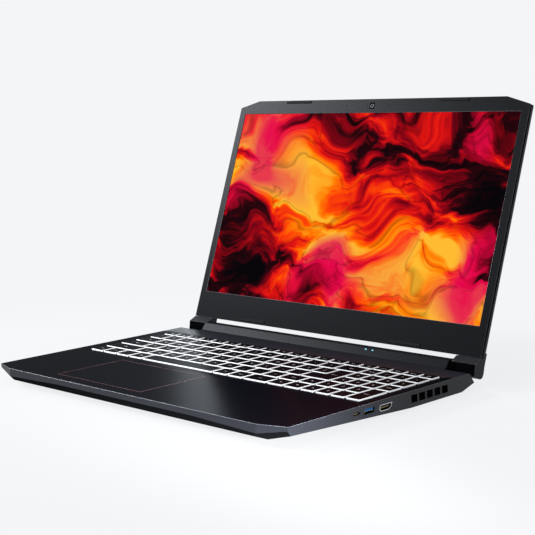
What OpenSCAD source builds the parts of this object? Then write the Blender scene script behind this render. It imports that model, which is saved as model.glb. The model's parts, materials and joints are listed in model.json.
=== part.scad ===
// Laptop computer with a fifteen inch display, opened for use.
// X runs along the width, Y from front to rear, Z up. The origin lies on the desk,
// under the middle of the opened machine. All lengths are in millimetres.

/* [Base] */
// Width of the base at the deck
base_w = 363.4; // [362:0.1:375]
// Depth of the base, front edge to rear wall
base_d = 254.5; // [251:0.1:265]
// Height of the base from its underside to the deck
body_h = 15.4; // [15.4:0.1:18]
// Height of the rubber feet
foot_h = 1.4; // [1:0.1:3]
// Thickness of the moulded walls and of the floor
wall = 1.6; // [1.2:0.1:1.8]
// Thickness of the deck around the keyboard
deck_t = 1.6; // [1.2:0.1:1.8]
// Length of each cut front corner along the front
corner_x = 25.8; // [15:0.1:35]
// Depth of each cut front corner
corner_y = 8.05; // [5:0.05:12]
// How far the side walls lean in from deck to underside
side_draft = 3.7; // [1:0.1:4.5]
// Height of the visible rim of the deck above the seam
rim_h = 2.2; // [1.8:0.1:2.4]
// Depth of the sloping belly behind the front edge
belly_d = 15.25; // [10:0.05:18]
// Height of the belly at the front edge, above the underside
belly_h = 5.65; // [4:0.1:7]
// Half length of the level part of the front lip
lip_half = 85; // [60:1:110]
// Height of the front lip in its level part
lip_h = 4.9; // [3.5:0.1:6]
// Height of the lip at the inner end of each cut corner
corner_lip = 7; // [6:0.1:8]
// Height of the lip at the outer end of each cut corner
corner_rim = 2.9; // [2.5:0.1:4]
// Rise of the side edge of the underside from its start to the front
bevel_h = 7.1; // [6:0.05:9]
// Length over which the side edge of the underside rises
bevel_l = 148; // [120:1:155]
// How far the raised underside reaches in at the front
bevel_w = 28; // [22:1:32]

/* [Keyboard] */
// Depth of the palm rest in front of the keys
palm_d = 101.8; // [100:0.1:104]
// Middle of the keys, right of the middle of the base
key_shift = 0.8; // [0:0.1:1.5]
// Pitch of the main keys across
key_unit = 18.9; // [18.6:0.1:19.1]
// Pitch of the number pad keys across
num_unit = 16.3; // [16:0.1:16.8]
// Pitch of the key rows
row_pitch = 18.65; // [18:0.05:18.8]
// Gap between neighbouring keys
key_gap = 2; // [1.6:0.1:2.4]
// Depth of the function keys
f_key_d = 11.6; // [10:0.1:12]
// Height of the key tops above the deck
key_proud = 0.4; // [0:0.1:0.6]
// How far the keys travel
key_travel = 1.3; // [1:0.1:1.4]
// Slope of each key's side, measured inwards
key_bevel = 0.9; // [0.4:0.1:1.2]
// Clearance between a key and its hole
key_clear = 0.35; // [0.25:0.05:0.45]
// Depth of the shallow well around the keys
well_depth = 0.8; // [0.5:0.1:0.9]
// Length of the well's front slope
well_slope = 7; // [4:0.5:9]

/* [Touchpad] */
// Width of the touchpad
pad_w = 110.2; // [95:0.1:116]
// Depth of the touchpad
pad_d = 72.2; // [60:0.1:76]
// Middle of the touchpad, left of the middle of the base
pad_left = 45.8; // [38:0.1:50]
// Palm rest in front of the touchpad
pad_front = 13.65; // [12:0.05:16]
// Thickness of the touchpad
pad_t = 1.5; // [1.2:0.1:1.7]
// Gap around the touchpad
pad_clear = 0.3; // [0.2:0.05:0.5]
// Travel of the touchpad's front edge when it is clicked
pad_click = 0.4; // [0.3:0.05:0.5]

/* [Lid] */
// Width of the bezel beside the picture, to the lid's edge
lid_side = 7.9; // [7.3:0.05:8.4]
// Width of the bezel above the picture, to the lid's edge
lid_brow = 14.1; // [13.5:0.05:14.4]
// Lower edge of the lid below the picture
lid_skirt = 27.4; // [26.5:0.1:28]
// Thickness of the lid
lid_t = 7.7; // [7.4:0.1:9]
// Thickness of the bezel in front of the panel
bezel_t = 1.1; // [0.9:0.05:1.3]
// Width of the groove between bezel and back cover
groove_w = 1.9; // [1.4:0.1:2.1]
// Depth of that groove
groove_d = 1.5; // [1:0.1:1.8]
// Length of each cut top corner along the top
lid_cut_x = 25.45; // [15:0.05:35]
// Height of each cut top corner
lid_cut_y = 7.3; // [4:0.1:10]
// Width of the picture
screen_w = 344.2; // [340:0.1:346]
// Height of the picture
screen_h = 193.6; // [190:0.1:195]
// Thickness of the display panel
panel_t = 3.2; // [2.8:0.1:3.4]

/* [Hinge] */
// Angle between the deck and the lid as shown
lid_open = 109.8; // [90:0.1:130]
// Distance of the hinge axis from the rear wall
axis_back = 8.55; // [8:0.05:9.5]
// Distance of the hinge axis below the picture's lower edge
axis_below = 38; // [37.5:0.1:38.5]
// Gap between bezel and deck with the lid closed
closed_gap = 0.8; // [0.7:0.05:1]
// Radius of the hinge shafts
shaft_r = 2.4; // [2:0.1:2.6]
// Running clearance of a hinge shaft in its knuckle
shaft_clear = 0.05; // [0.03:0.01:0.09]
// Radius of the knuckles on the lid's hinge arms
knuckle_r = 3.7; // [3.4:0.1:3.8]
// Width of each ear that hangs from the lid
ear_w = 25.35; // [24:0.05:28]
// Height of the hinge bar above the deck
bar_h = 6.6; // [6:0.1:6.9]
// Gap between the hinge bar and each ear
ear_gap = 0.6; // [0.4:0.1:1]

/* [Ports] */
// Inner radius of the headphone socket
audio_r = 1.8; // [1.75:0.01:1.9]
// Inner radius of the power socket
power_r = 2.8; // [2.5:0.05:3.3]
// Width of the network socket's mouth
ethernet_w = 11.8; // [11.6:0.1:12.2]
// Height of the network socket's mouth
ethernet_h = 7; // [6.8:0.1:7.1]
// Number of leaning vent slots in each side wall
side_vents = 5; // [3:1:6]
// Pitch of the vent slots in the side walls
vent_pitch = 10.2; // [8:0.1:11]

/* [Cooling] */
// Radius of each fan rotor
rotor_r = 29.5; // [26:0.5:30]
// Number of blades on each fan rotor
blades = 31; // [15:2:37]
// Pitch of the cooling fins
fin_pitch = 3; // [2.5:0.1:4]

/* [Hidden] */
$fn = 48;
near = 0.01;

// Heights
floor_z = foot_h;
deck_z = floor_z + body_h;
inside_z = floor_z + wall;
ceiling_z = deck_z - deck_t;
seam_z = deck_z - rim_h;

// Base outline, from its middle
half_w = base_w / 2;
wall_x = half_w - side_draft;
front_y = -base_d / 2;
rear_y = base_d / 2;
corner_angle = atan2(corner_y, corner_x);
lip_ease = 0.15;
belly_angle = atan2(belly_h, belly_d);
bevel_rise = atan2(bevel_h, bevel_l);
bevel_tilt = atan2(bevel_h, bevel_w);
bevel_start = front_y + corner_y + bevel_l;

// Hinge and lid
axis_y = rear_y - axis_back;
axis_z = deck_z;
lid_lean = 180 - lid_open;
lid_half = screen_w / 2 + lid_side;
lid_top = screen_h + lid_brow;
lid_rear = axis_y + (lid_top + axis_below) * cos(lid_lean) + (lid_t + closed_gap) * sin(lid_lean);
middle_y = (lid_rear + front_y) / 2;
lid_wall = 1.5;
lid_skin = 1.3;
back_low = lid_skirt - 2.1;
back_bevel = 1.2;
ear_in = lid_half - ear_w;
panel_side = 3.2;
panel_above = 2.4;
panel_below = 18.3;
panel_front = bezel_t + 0.05;
panel_back = panel_front + panel_t;
camera_x = 0.9;
camera_y = screen_h + lid_brow / 2;
window_w = 6;
window_h = 6.4;
webcam_half = 36;
webcam_y0 = camera_y - 4.05;
webcam_h = 7;
antenna_x = 70;
antenna_l = 45;
antenna_h = 5.5;
bumper_x = 80;
bumper_l = 34;
bumper_w = 2.5;

// Hinge bar, just clear of the closed lid's lower edge
bar_half = ear_in - ear_gap;
bar_front = axis_y - axis_below + lid_skirt - 0.3;
bar_top_z = deck_z + bar_h;

// Rear corners, cut back to leave room for the lid's ears
notch_top = axis_y - 14.9;
notch_mid = axis_y - 4.6;
notch_low = axis_y - 20.7;
notch_z = floor_z + 5.6;

// Keyboard
rows_y = [for (i = [0:5]) front_y + palm_d + i * row_pitch];
row_widths = [
    [1, 1, 1, 1, 5, 1, 1, 1.5, 1, 1],
    [2.25, 1, 1, 1, 1, 1, 1, 1, 1, 1, 1, 1.25, 1],
    [1.75, 1, 1, 1, 1, 1, 1, 1, 1, 1, 1, 1, 1.75],
    [1.5, 1, 1, 1, 1, 1, 1, 1, 1, 1, 1, 1, 1, 1],
    [1, 1, 1, 1, 1, 1, 1, 1, 1, 1, 1, 1, 1, 1.5]
];
main_units = 14.5;
f_keys = 16;
f_unit = main_units * key_unit / f_keys;
keys_w = main_units * key_unit + 4 * num_unit - key_gap;
keys_x = key_shift - keys_w / 2;
keys_x1 = key_shift + keys_w / 2;
pad_x0 = keys_x + main_units * key_unit;
keys_front = rows_y[0];
keys_rear = rows_y[5] + f_key_d;
well_z = deck_z - well_depth;
well_t = 1;
key_top = deck_z + key_proud;
key_foot = well_z - 0.15;
key_skirt = well_z - 0.05;
dome_z = key_foot - key_travel - 0.05;
plate_t = 0.35;
sheet_t = 0.25;
dome_h = 0.3;
sheet_z = dome_z - dome_h - sheet_t;
plate_z = sheet_z - plate_t;
well_margin = 1.5;
rib_t = 1.2;

// Touchpad
pad_y0 = front_y + pad_front;
pad_y1 = pad_y0 + pad_d;
pad_x_left = -pad_left - pad_w / 2;
pad_x_right = -pad_left + pad_w / 2;
pad_z = deck_z - pad_t;

// Inside
board_z = inside_z + 1.2;
board_t = 1.2;
board_top = board_z + board_t;
board_half = wall_x - 11;
board_front = front_y + 87.5;
board_rear = rear_y - 32;
fan_half = 35;
fan_h = 8.4;
fan_eye = 22;
fin_front = rear_y - 23;
fin_rear = rear_y - wall - 3.5;
fin_x1 = bar_half - 24.05;
fin_x0 = fin_x1 - 68;
fan_x = fin_x1 - 33;
fan_y = rear_y - 66;
chip_x = 24;
fin_h = 6.2;
cell_w = 62;
cell_gap = 0.4;
speaker_x = wall_x - 41;
battery_x = -speaker_x + 19;
ssd_x = 60;
ssd_l = 80;
ssd_w = 22;
strip_y = (keys_rear + bar_front) / 2 - 1;
chip_h = 1.4;
cold_plate_h = 1.4;
screw_places = [
    [wall_x - 60, front_y + 19.3], [wall_x - 28, front_y + 47], [wall_x - 18, board_front + 4.8],
    [55, pad_y1 + 6.45], [wall_x - 18, strip_y], [50, strip_y]
];
boss_r = 2.6;
screw_r = 0.95;
screw_head_r = 2.8;
screw_head_h = 0.8;

// ---------- helpers ----------

// Everything in the base frame, moved so that the opened machine stands over the origin
module base_frame() {
    translate([0, -middle_y, 0])
        children();
}

// The lid's own frame: X across, Y up the lid from the picture's lower edge, Z towards the user
module lid_frame() {
    translate([0, axis_y - middle_y, axis_z])
        rotate([lid_lean, 0, 0])
            translate([0, axis_below, -closed_gap])
                children();
}

module box(low, high) {
    translate(low)
        cube(high - low);
}

// A prism along X from a profile of [y, z] points
module prism_x(x0, x1, points) {
    translate([x0, 0, 0])
        rotate([90, 0, 90])
            linear_extrude(x1 - x0)
                polygon(points);
}

// A prism along Y from a profile of [x, z] points
module prism_y(y0, y1, points) {
    translate([0, y1, 0])
        rotate([90, 0, 0])
            linear_extrude(y1 - y0)
                polygon(points);
}

module both_sides() {
    children();
    mirror([1, 0, 0])
        children();
}

function mirrored(points) = concat(
    points, [for (i = [len(points) - 1:-1:0]) [-points[i][0], points[i][1]]]);

// ---------- base shell ----------

function plan_points(inset) = mirrored([
    [half_w - corner_x - inset * tan(corner_angle / 2), front_y + inset],
    [half_w - inset, front_y + corner_y + inset * tan(45 - corner_angle / 2)],
    [half_w - inset, rear_y - inset]
]);

function side_points(inset, top) = [
    [front_y + inset, top],
    [front_y + inset, floor_z + belly_h + inset * tan(45 - belly_angle / 2)],
    [front_y + belly_d + inset * tan(belly_angle / 2), floor_z + inset],
    [rear_y - 3 - inset / 2, floor_z + inset],
    [rear_y - inset, floor_z + 3 + inset / 2],
    [rear_y - inset, top]
];

function cross_points(inset, top) = mirrored([
    [wall_x - inset, floor_z],
    [half_w - inset, deck_z],
    [half_w - inset, top + 5]
]);

module ear_notches(inset) {
    both_sides()
        prism_x(bar_half - inset, half_w + 10, [
            [notch_top - inset, deck_z + 5],
            [notch_top - inset, deck_z],
            [notch_mid - inset * 1.3, notch_z],
            [notch_low - inset * 1.3, floor_z],
            [notch_low - inset * 1.3 - 2, floor_z - 1],
            [notch_low - inset * 1.3 - 2, floor_z - 5],
            [rear_y + 5, floor_z - 5],
            [rear_y + 5, deck_z + 5]
        ]);
}

// The two planes that lift the underside towards the front corners
module underside_bevels(inset) {
    both_sides()
        translate([wall_x, bevel_start, floor_z + inset])
            rotate([-bevel_rise, 0, 0])
                rotate([0, -bevel_tilt, 0])
                    translate([-100, -220, -30])
                        cube([130, 300, 30]);
}

// The sloping undercut below the lip of each cut corner
module corner_undercut(inset) {
    length = sqrt(corner_x * corner_x + corner_y * corner_y);
    rise = atan2(corner_lip - corner_rim, length);
    deep = 16;
    both_sides()
        translate([half_w - corner_x, front_y, deck_z - corner_lip - 2 * lip_ease + inset * 1.4])
            rotate([0, 0, corner_angle])
                rotate([0, -rise, 0])
                    prism_x(-12, length + 12, [[-6, 0], [0, 0], [deep, -deep], [-6, -deep]]);
}

module base_block(inset, top) {
    difference() {
        intersection() {
            translate([0, 0, -1])
                linear_extrude(top + 1)
                    polygon(plan_points(inset));
            prism_x(-half_w, half_w, side_points(inset, top));
            prism_y(front_y - 5, rear_y + 5, cross_points(inset * 1.03, top));
        }
        ear_notches(inset);
        underside_bevels(inset * 1.05);
        corner_undercut(inset);
    }
}

// The shaved underside of the front lip: level in the middle, running down and out at the corners
module lip_cut() {
    run = [2.4, -belly_h * 2.4 / belly_d - body_h + lip_h + belly_h];
    wedge = [-run / 2, run * 7 / 6, [-3, run[1] - 2]];
    drop = atan2(corner_lip - lip_h + lip_ease, half_w - corner_x - lip_half);
    translate([0, front_y, deck_z - lip_h]) {
        prism_x(-lip_half - 0.4, lip_half + 0.4, wedge);
        both_sides()
            translate([lip_half, 0, 0])
                rotate([0, drop, 0])
                    prism_x(0, half_w, wedge);
    }
}

// What belongs to the deck: all above the side seam, and the front lip
module deck_zone() {
    corner = half_w - corner_x;
    box([-half_w - 1, front_y - 1, seam_z], [half_w + 1, rear_y + 1, deck_z + 1]);
    prism_y(front_y - 1, front_y + corner_y, mirrored([
        [lip_half, deck_z - lip_h],
        [corner, deck_z - corner_lip + 2 * lip_ease],
        [half_w, deck_z - corner_rim],
        [half_w + 1, deck_z - corner_rim],
        [half_w + 1, deck_z + 1]
    ]));
}

module base_outer() {
    difference() {
        base_block(0, deck_z);
        lip_cut();
    }
}

module base_cavity() {
    difference() {
        base_block(wall, ceiling_z);
        box([-half_w, front_y, -1], [half_w, front_y + 3.9, deck_z]);
    }
}

module screw_sites() {
    for (p = screw_places)
        for (side = [-1, 1])
            translate([side * p[0], p[1], 0])
                children();
}

// Where the ports come out: middle along Y, middle height, width and height of the cut
usb_c_place = [front_y + 86, floor_z + 9.3, 9.6, 3.8];
usb_a_place = [front_y + 101.6, floor_z + 8.8, 14.2, 6.4];
hdmi_place = [front_y + 121.4, floor_z + 7.9, 15.6, 6.6];
left_usb_places = [front_y + 113, front_y + 133];
audio_place = [front_y + 96, floor_z + 9];
ethernet_place = [front_y + 153, board_top + ethernet_h / 2 + 0.5];
ethernet_t = 1.3;
lock_place = [front_y + 166.5, floor_z + 9];
power_place = [35, floor_z + 8];
vents_right = front_y + 152.7;
vents_left = front_y + 172.2;
vent_low = floor_z + 4.2;
vent_high = floor_z + 11.4;
vent_lean = 2.6;

module side_slot(side, y, z, width, height) {
    box([min(side * (wall_x - 12), side * (half_w + 5)), y - width / 2, z - height / 2],
        [max(side * (wall_x - 12), side * (half_w + 5)), y + width / 2, z + height / 2]);
}

// Leaning slots in the right wall; the left wall has one fewer
module vent_row(start, count) {
    slot = vent_pitch - 2.2;
    for (i = [0:count - 1]) {
        y = start + i * vent_pitch;
        prism_x(wall_x - 6, half_w + 5, [
            [y + vent_lean, vent_low], [y + vent_lean + slot, vent_low],
            [y + slot, vent_high], [y, vent_high]
        ]);
    }
}

module side_vent_slots() {
    vent_row(vents_right, side_vents);
    mirror([1, 0, 0])
        vent_row(vents_left, side_vents - 1);
}

module intake_slots() {
    both_sides()
        for (i = [-6:6])
            for (half = [-1, 1])
                translate([fan_x + i * 4.2, fan_y + half * 11.5, floor_z])
                    cube([2.2, 20, 2 * wall + 2], center = true);
}

module bottom_cover() {
    color([0.10, 0.10, 0.11])
        base_frame() {
            difference() {
                base_outer();
                deck_zone();
                base_cavity();
                side_vent_slots();
                intake_slots();
                shaft_passage();
                both_sides()
                    box([fin_x0, rear_y - wall - 1, floor_z + 3.2], [fin_x1, rear_y + 1, seam_z - 1.4]);
                side_slot(1, usb_c_place[0], usb_c_place[1], usb_c_place[2], usb_c_place[3]);
                side_slot(1, usb_a_place[0], usb_a_place[1], usb_a_place[2], usb_a_place[3]);
                side_slot(1, hdmi_place[0], hdmi_place[1], hdmi_place[2], hdmi_place[3]);
                for (y = left_usb_places)
                    side_slot(-1, y, usb_a_place[1], usb_a_place[2], usb_a_place[3]);
                side_slot(-1, ethernet_place[0], ethernet_place[1], ethernet_w + 2 * ethernet_t + 0.2,
                    ethernet_h + 1.2);
                side_slot(-1, lock_place[0], lock_place[1], 7, 3);
                translate([-half_w - 5, audio_place[0], audio_place[1]])
                    rotate([0, 90, 0])
                        cylinder(h = 14, r = audio_r + 1.3);
                translate([power_place[0], rear_y + 5, power_place[1]])
                    rotate([90, 0, 0])
                        cylinder(h = 12, r = power_r + 1.3);
                screw_sites() {
                    translate([0, 0, floor_z - 1])
                        cylinder(h = wall + 2, r = 1.3);
                    translate([0, 0, floor_z - 1])
                        cylinder(h = 1 + screw_head_h + 0.1, r = screw_head_r + 0.2);
                }
            }
            // Standoffs under the main board
            for (x = [-board_half + 14, -20, 20, board_half - 14])
                translate([x, board_front + 6, inside_z - near])
                    cylinder(h = board_z - inside_z + near, r = 2.4);
            for (x = [-40, 40])
                translate([x, board_rear - 8, inside_z - near])
                    cylinder(h = board_z - inside_z + near, r = 2.4);
        }
}

// The shallow well around the keys, with sloping edges
module key_well() {
    half = keys_w / 2 + well_margin;
    y0 = keys_front - well_margin;
    y1 = keys_rear + well_margin;
    out = 2;
    intersection() {
        prism_x(key_shift - half - 20, key_shift + half + 20, [
            [y0, well_z],
            [y0 - well_slope * (1 + out), well_z + well_depth * (1 + out)],
            [y1 + 1.2 * (1 + out), well_z + well_depth * (1 + out)],
            [y1, well_z]
        ]);
        translate([key_shift, 0, 0])
            prism_y(y0 - 30, y1 + 20, mirrored([
                [half, well_z],
                [half + 5 * (1 + out), well_z + well_depth * (1 + out)]
            ]));
    }
}

module palmrest_deck() {
    color([0.06, 0.065, 0.08])
        base_frame() {
            difference() {
                intersection() {
                    base_outer();
                    deck_zone();
                }
                difference() {
                    base_cavity();
                    // Thickened floor of the key well
                    box([keys_x - 9, keys_front - 10, well_z - well_t],
                        [keys_x1 + 9, keys_rear + 4, deck_z]);
                }
                box([-bar_half, bar_front, seam_z - 1], [bar_half, rear_y + 1, deck_z + 1]);
                key_well();
                for (i = [0:5])
                    key_holes(i);
                box([pad_x_left - pad_clear, pad_y0 - pad_clear, ceiling_z - 1],
                    [pad_x_right + pad_clear, pad_y1 + pad_clear, deck_z + 1]);
            }
            // Rib that seats on the keyboard plate
            difference() {
                box([keys_x - 2.2, keys_front - 2.2, plate_z + plate_t],
                    [keys_x1 + 2.2, keys_rear + 2.2, well_z - well_t + near]);
                box([keys_x - 1, keys_front - 1, plate_z],
                    [keys_x1 + 1, keys_rear + 1, well_z]);
            }
            screw_sites()
                difference() {
                    translate([0, 0, inside_z + 0.1])
                        cylinder(h = ceiling_z - inside_z - 0.1 + near, r = boss_r);
                    translate([0, 0, inside_z])
                        cylinder(h = 6.5, r = screw_r + 0.05);
                }
        }
}

// Holes in the side walls for the hinge shafts
module shaft_passage() {
    translate([-bar_half - 5, axis_y, axis_z])
        rotate([0, 90, 0])
            cylinder(h = 2 * bar_half + 10, r = shaft_r + 0.4);
}

module hinge_bar_cover() {
    inner = 1.4;
    color([0.13, 0.135, 0.15])
        base_frame()
            difference() {
                prism_x(-bar_half, bar_half, [
                    [bar_front, seam_z], [bar_front, deck_z],
                    [bar_front + 5, bar_top_z], [bar_front + 12.2, bar_top_z],
                    [bar_front + 16.7, bar_top_z - 1.8], [rear_y, deck_z + 1.4], [rear_y, seam_z]
                ]);
                prism_x(-bar_half + inner, bar_half - inner, [
                    [bar_front + inner, seam_z - 1], [bar_front + inner, deck_z - 0.3],
                    [bar_front + 5.7, bar_top_z - inner], [bar_front + 11.8, bar_top_z - inner],
                    [bar_front + 15.9, bar_top_z - 1.7 - inner], [rear_y - inner, deck_z + 0.9],
                    [rear_y - inner, seam_z - 1]
                ]);
                shaft_passage();
                light_holes(0.1);
            }
}

// The two indicator lights set into the bar's front face
light_x = [61.5, 69.5];
light_along = 0.78;
module light_holes(clear) {
    slope = atan2(5, bar_h);
    for (x = light_x)
        translate([x, bar_front + 5 * light_along, deck_z + bar_h * light_along])
            rotate([-slope, 0, 0])
                cube([1.8 + 2 * clear, 3, 1 + 2 * clear], center = true);
}

module status_lights() {
    color([0.45, 0.9, 1])
        base_frame()
            intersection() {
                light_holes(0);
                translate([0, -0.05, 0])
                    prism_x(-bar_half, bar_half, [
                        [bar_front + 0.05, deck_z], [bar_front + 5.05, bar_top_z],
                        [bar_front + 7, bar_top_z], [bar_front + 3, deck_z]
                    ]);
            }
}

module rear_grilles() {
    z0 = floor_z + 3.3;
    z1 = seam_z - 1.5;
    bar = 1.4;
    slats = 12;
    pitch = (fin_x1 - fin_x0 - 0.4 - bar) / slats;
    color([0.45, 0.06, 0.07])
        base_frame()
            both_sides() {
                for (z = [z0, z1 - bar])
                    box([fin_x0 + 0.1, rear_y - wall - 0.6, z], [fin_x1 - 0.1, rear_y - 0.2, z + bar]);
                for (i = [0:slats])
                    box([fin_x0 + 0.2 + i * pitch, rear_y - wall - 0.6, z0],
                        [fin_x0 + 0.2 + bar + i * pitch, rear_y - 0.2, z1]);
            }
}

module rubber_feet() {
    color([0.03, 0.03, 0.03])
        base_frame()
            both_sides() {
                box([fin_x0, rear_y - 31, 0], [fin_x1 - 2, rear_y - 21, floor_z]);
                box([92, front_y + 24, 0], [132, front_y + 33, floor_z]);
            }
}

module bottom_screws() {
    color([0.3, 0.3, 0.32])
        base_frame()
            screw_sites() {
                translate([0, 0, floor_z + 0.1])
                    cylinder(h = screw_head_h, r = screw_head_r);
                translate([0, 0, floor_z + 0.1 + screw_head_h - near])
                    cylinder(h = 5.5, r = screw_r);
            }
}

// ---------- keyboard ----------

function units_before(widths, n) = n == 0 ? 0 : widths[n - 1] + units_before(widths, n - 1);

// Low and high corners of key n in row r of the main block, as [x0, y0, x1, y1]
function main_key(r, n) = [
    keys_x + key_unit * units_before(row_widths[r], n), rows_y[r],
    keys_x + key_unit * units_before(row_widths[r], n + 1) - key_gap, rows_y[r] + row_pitch - key_gap
];
function pad_key(r, n) = [
    pad_x0 + n * num_unit, rows_y[r],
    pad_x0 + (n + 1) * num_unit - key_gap, rows_y[r] + row_pitch - key_gap
];
function f_key(n) = [
    keys_x + n * f_unit, rows_y[5], keys_x + (n + 1) * f_unit - key_gap, keys_rear];
function f_pad_key(n) = [
    pad_x0 + n * num_unit, rows_y[5], pad_x0 + (n + 1) * num_unit - key_gap, keys_rear];
// The number pad's Enter spans two rows
tall_enter = [pad_key(0, 3)[0], rows_y[0], pad_key(0, 3)[2], pad_key(1, 3)[3]];
enter_low = main_key(2, 12);
enter_high = main_key(3, 13);
enter_tall = [enter_high[0], enter_low[1], enter_high[2], enter_high[3]];

// One key: an upright skirt and a sloping cap above it
module key(k) {
    box([k[0], k[1], key_foot], [k[2], k[3], key_skirt]);
    key_slope(k);
}

module key_slope(k) {
    b = key_bevel;
    intersection() {
        prism_y(k[1], k[3], [
            [k[0], key_skirt - near], [k[2], key_skirt - near], [k[2], key_skirt],
            [k[2] - b, key_top], [k[0] + b, key_top], [k[0], key_skirt]
        ]);
        prism_x(k[0], k[2], [
            [k[1], key_skirt - near], [k[3], key_skirt - near], [k[3], key_skirt],
            [k[3] - b, key_top], [k[1] + b, key_top], [k[1], key_skirt]
        ]);
    }
}

// Enter: a low wide part and a high narrow part joined into one cap
module enter_cap() {
    key(enter_low);
    key(enter_tall);
}

module hole(k) {
    box([k[0] - key_clear, k[1] - key_clear, well_z - well_t - 1],
        [k[2] + key_clear, k[3] + key_clear, deck_z + 1]);
}

module key_holes(r) {
    if (r < 5) {
        for (n = [0:len(row_widths[r]) - 1])
            hole(main_key(r, n));
        for (n = [0:3])
            hole(pad_key(r, n));
    }
    if (r == 5) {
        for (n = [0:f_keys - 1])
            hole(f_key(n));
        for (n = [0:3])
            hole(f_pad_key(n));
    }
    if (r == 0)
        hole(tall_enter);
    if (r == 2)
        hole(enter_tall);
}

module key_color() {
    color([0.05, 0.05, 0.06])
        base_frame()
            children();
}

module space_bar() {
    key_color()
        key(main_key(0, 4));
}

module enter_key() {
    key_color()
        enter_cap();
}

module backspace_key() {
    key_color()
        key(main_key(4, 13));
}

module tab_key() {
    key_color()
        key(main_key(3, 0));
}

module caps_lock_key() {
    key_color()
        key(main_key(2, 0));
}

module left_shift_key() {
    key_color()
        key(main_key(1, 0));
}

module right_shift_key() {
    key_color()
        key(main_key(1, 11));
}

module numpad_enter_key() {
    key_color()
        key(tall_enter);
}

module power_key() {
    key_color()
        key(f_pad_key(3));
}

module arrow_keys() {
    key_color() {
        key(main_key(1, 12));
        key(main_key(0, 8));
        key(main_key(0, 9));
        key(pad_key(0, 0));
    }
}

module function_row_keys() {
    key_color() {
        for (n = [0:f_keys - 1])
            key(f_key(n));
        for (n = [0:2])
            key(f_pad_key(n));
    }
}

module number_row_keys() {
    key_color()
        for (n = [0:12])
            key(main_key(4, n));
}

module upper_letter_keys() {
    key_color()
        for (n = [1:12])
            key(main_key(3, n));
}

module home_letter_keys() {
    key_color()
        for (n = [1:11])
            key(main_key(2, n));
}

module lower_letter_keys() {
    key_color()
        for (n = [1:10])
            key(main_key(1, n));
}

module modifier_keys() {
    key_color()
        for (n = [0, 1, 2, 3, 5, 6, 7])
            key(main_key(0, n));
}

module numpad_keys() {
    key_color() {
        for (n = [1:2])
            key(pad_key(0, n));
        for (n = [0:2])
            key(pad_key(1, n));
        for (r = [2:4])
            for (n = [0:3])
                key(pad_key(r, n));
    }
}

module keyboard_plate() {
    color([0.55, 0.56, 0.58])
        base_frame()
            box([keys_x - 2.2, keys_front - 2.2, plate_z], [keys_x1 + 2.2, keys_rear + 2.2, plate_z + plate_t]);
}

module dome_at(k) {
    translate([(k[0] + k[2]) / 2, (k[1] + k[3]) / 2, sheet_z + sheet_t - near])
        cylinder(h = dome_h + near, r = 3, $fn = 24);
}

module dome_sheet() {
    color([0.85, 0.86, 0.86])
        base_frame() {
            box([keys_x - 0.8, keys_front - 0.8, sheet_z], [keys_x1 + 0.8, keys_rear + 0.8, sheet_z + sheet_t]);
            for (r = [0:4]) {
                for (n = [0:len(row_widths[r]) - 1])
                    dome_at(main_key(r, n));
                for (n = [0:3])
                    dome_at(pad_key(r, n));
            }
            for (n = [0:f_keys - 1])
                dome_at(f_key(n));
            for (n = [0:3])
                dome_at(f_pad_key(n));
        }
}

// ---------- touchpad ----------

module touchpad() {
    color([0.08, 0.08, 0.10])
        base_frame() {
            box([pad_x_left, pad_y0, pad_z], [pad_x_right, pad_y1, deck_z - 0.05]);
            // Click button under the front edge
            translate([-pad_left, pad_y0 + 6, pad_z - 0.8])
                cylinder(h = 0.8 + near, r = 2.5);
        }
}

module touchpad_bracket() {
    z1 = pad_z - 0.9 - pad_click;
    color([0.5, 0.51, 0.53])
        base_frame() {
            box([pad_x_left + 4, pad_y0 + 3, z1 - 0.8], [pad_x_right - 4, pad_y1 + 3.4, z1]);
            // Flange that carries the touchpad's rear edge and is fixed under the deck
            box([pad_x_left + 4, pad_y1 - 1.6, z1 - near], [pad_x_right - 4, pad_y1 - 0.4, pad_z - 0.1]);
            box([pad_x_left + 4, pad_y1 + 1.5, z1 - near], [pad_x_right - 4, pad_y1 + 3.4, ceiling_z]);
        }
}

// ---------- inside ----------

module motherboard() {
    color([0.05, 0.25, 0.15])
        base_frame()
            difference() {
                union() {
                    box([-board_half, board_front, board_z], [board_half, fan_y - fan_half - 2, board_top]);
                    box([-fan_x + fan_half + 3, board_front, board_z],
                        [fan_x - fan_half - 3, board_rear, board_top]);
                }
                screw_sites()
                    translate([0, 0, board_z - 1])
                        cylinder(h = board_t + 2, r = boss_r + 0.6);
            }
}

module processors() {
    color([0.15, 0.16, 0.17])
        base_frame()
            for (x = [-chip_x, chip_x])
                box([x - 11, fan_y - 12, board_top], [x + 11, fan_y + 10, board_top + chip_h]);
}

module heat_pipes() {
    z0 = board_top + chip_h;
    z1 = z0 + cold_plate_h;
    pipe_t = 2.2;
    fin_top = inside_z + fin_h;
    pipe_z = max(z1, fin_top);
    color([0.72, 0.42, 0.25])
        base_frame() {
            for (x = [-chip_x, chip_x]) {
                box([x - 13, fan_y - 14, z0], [x + 13, fan_y + 12, pipe_z + near]);
                box([x - 4, fan_y - 12, pipe_z], [x + 4, fin_front + 8, pipe_z + pipe_t]);
            }
            for (y = [fin_front + 1, fin_front + 7.5])
                box([-fin_x1, y, pipe_z], [fin_x1, y + 5, pipe_z + pipe_t]);
        }
}

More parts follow.
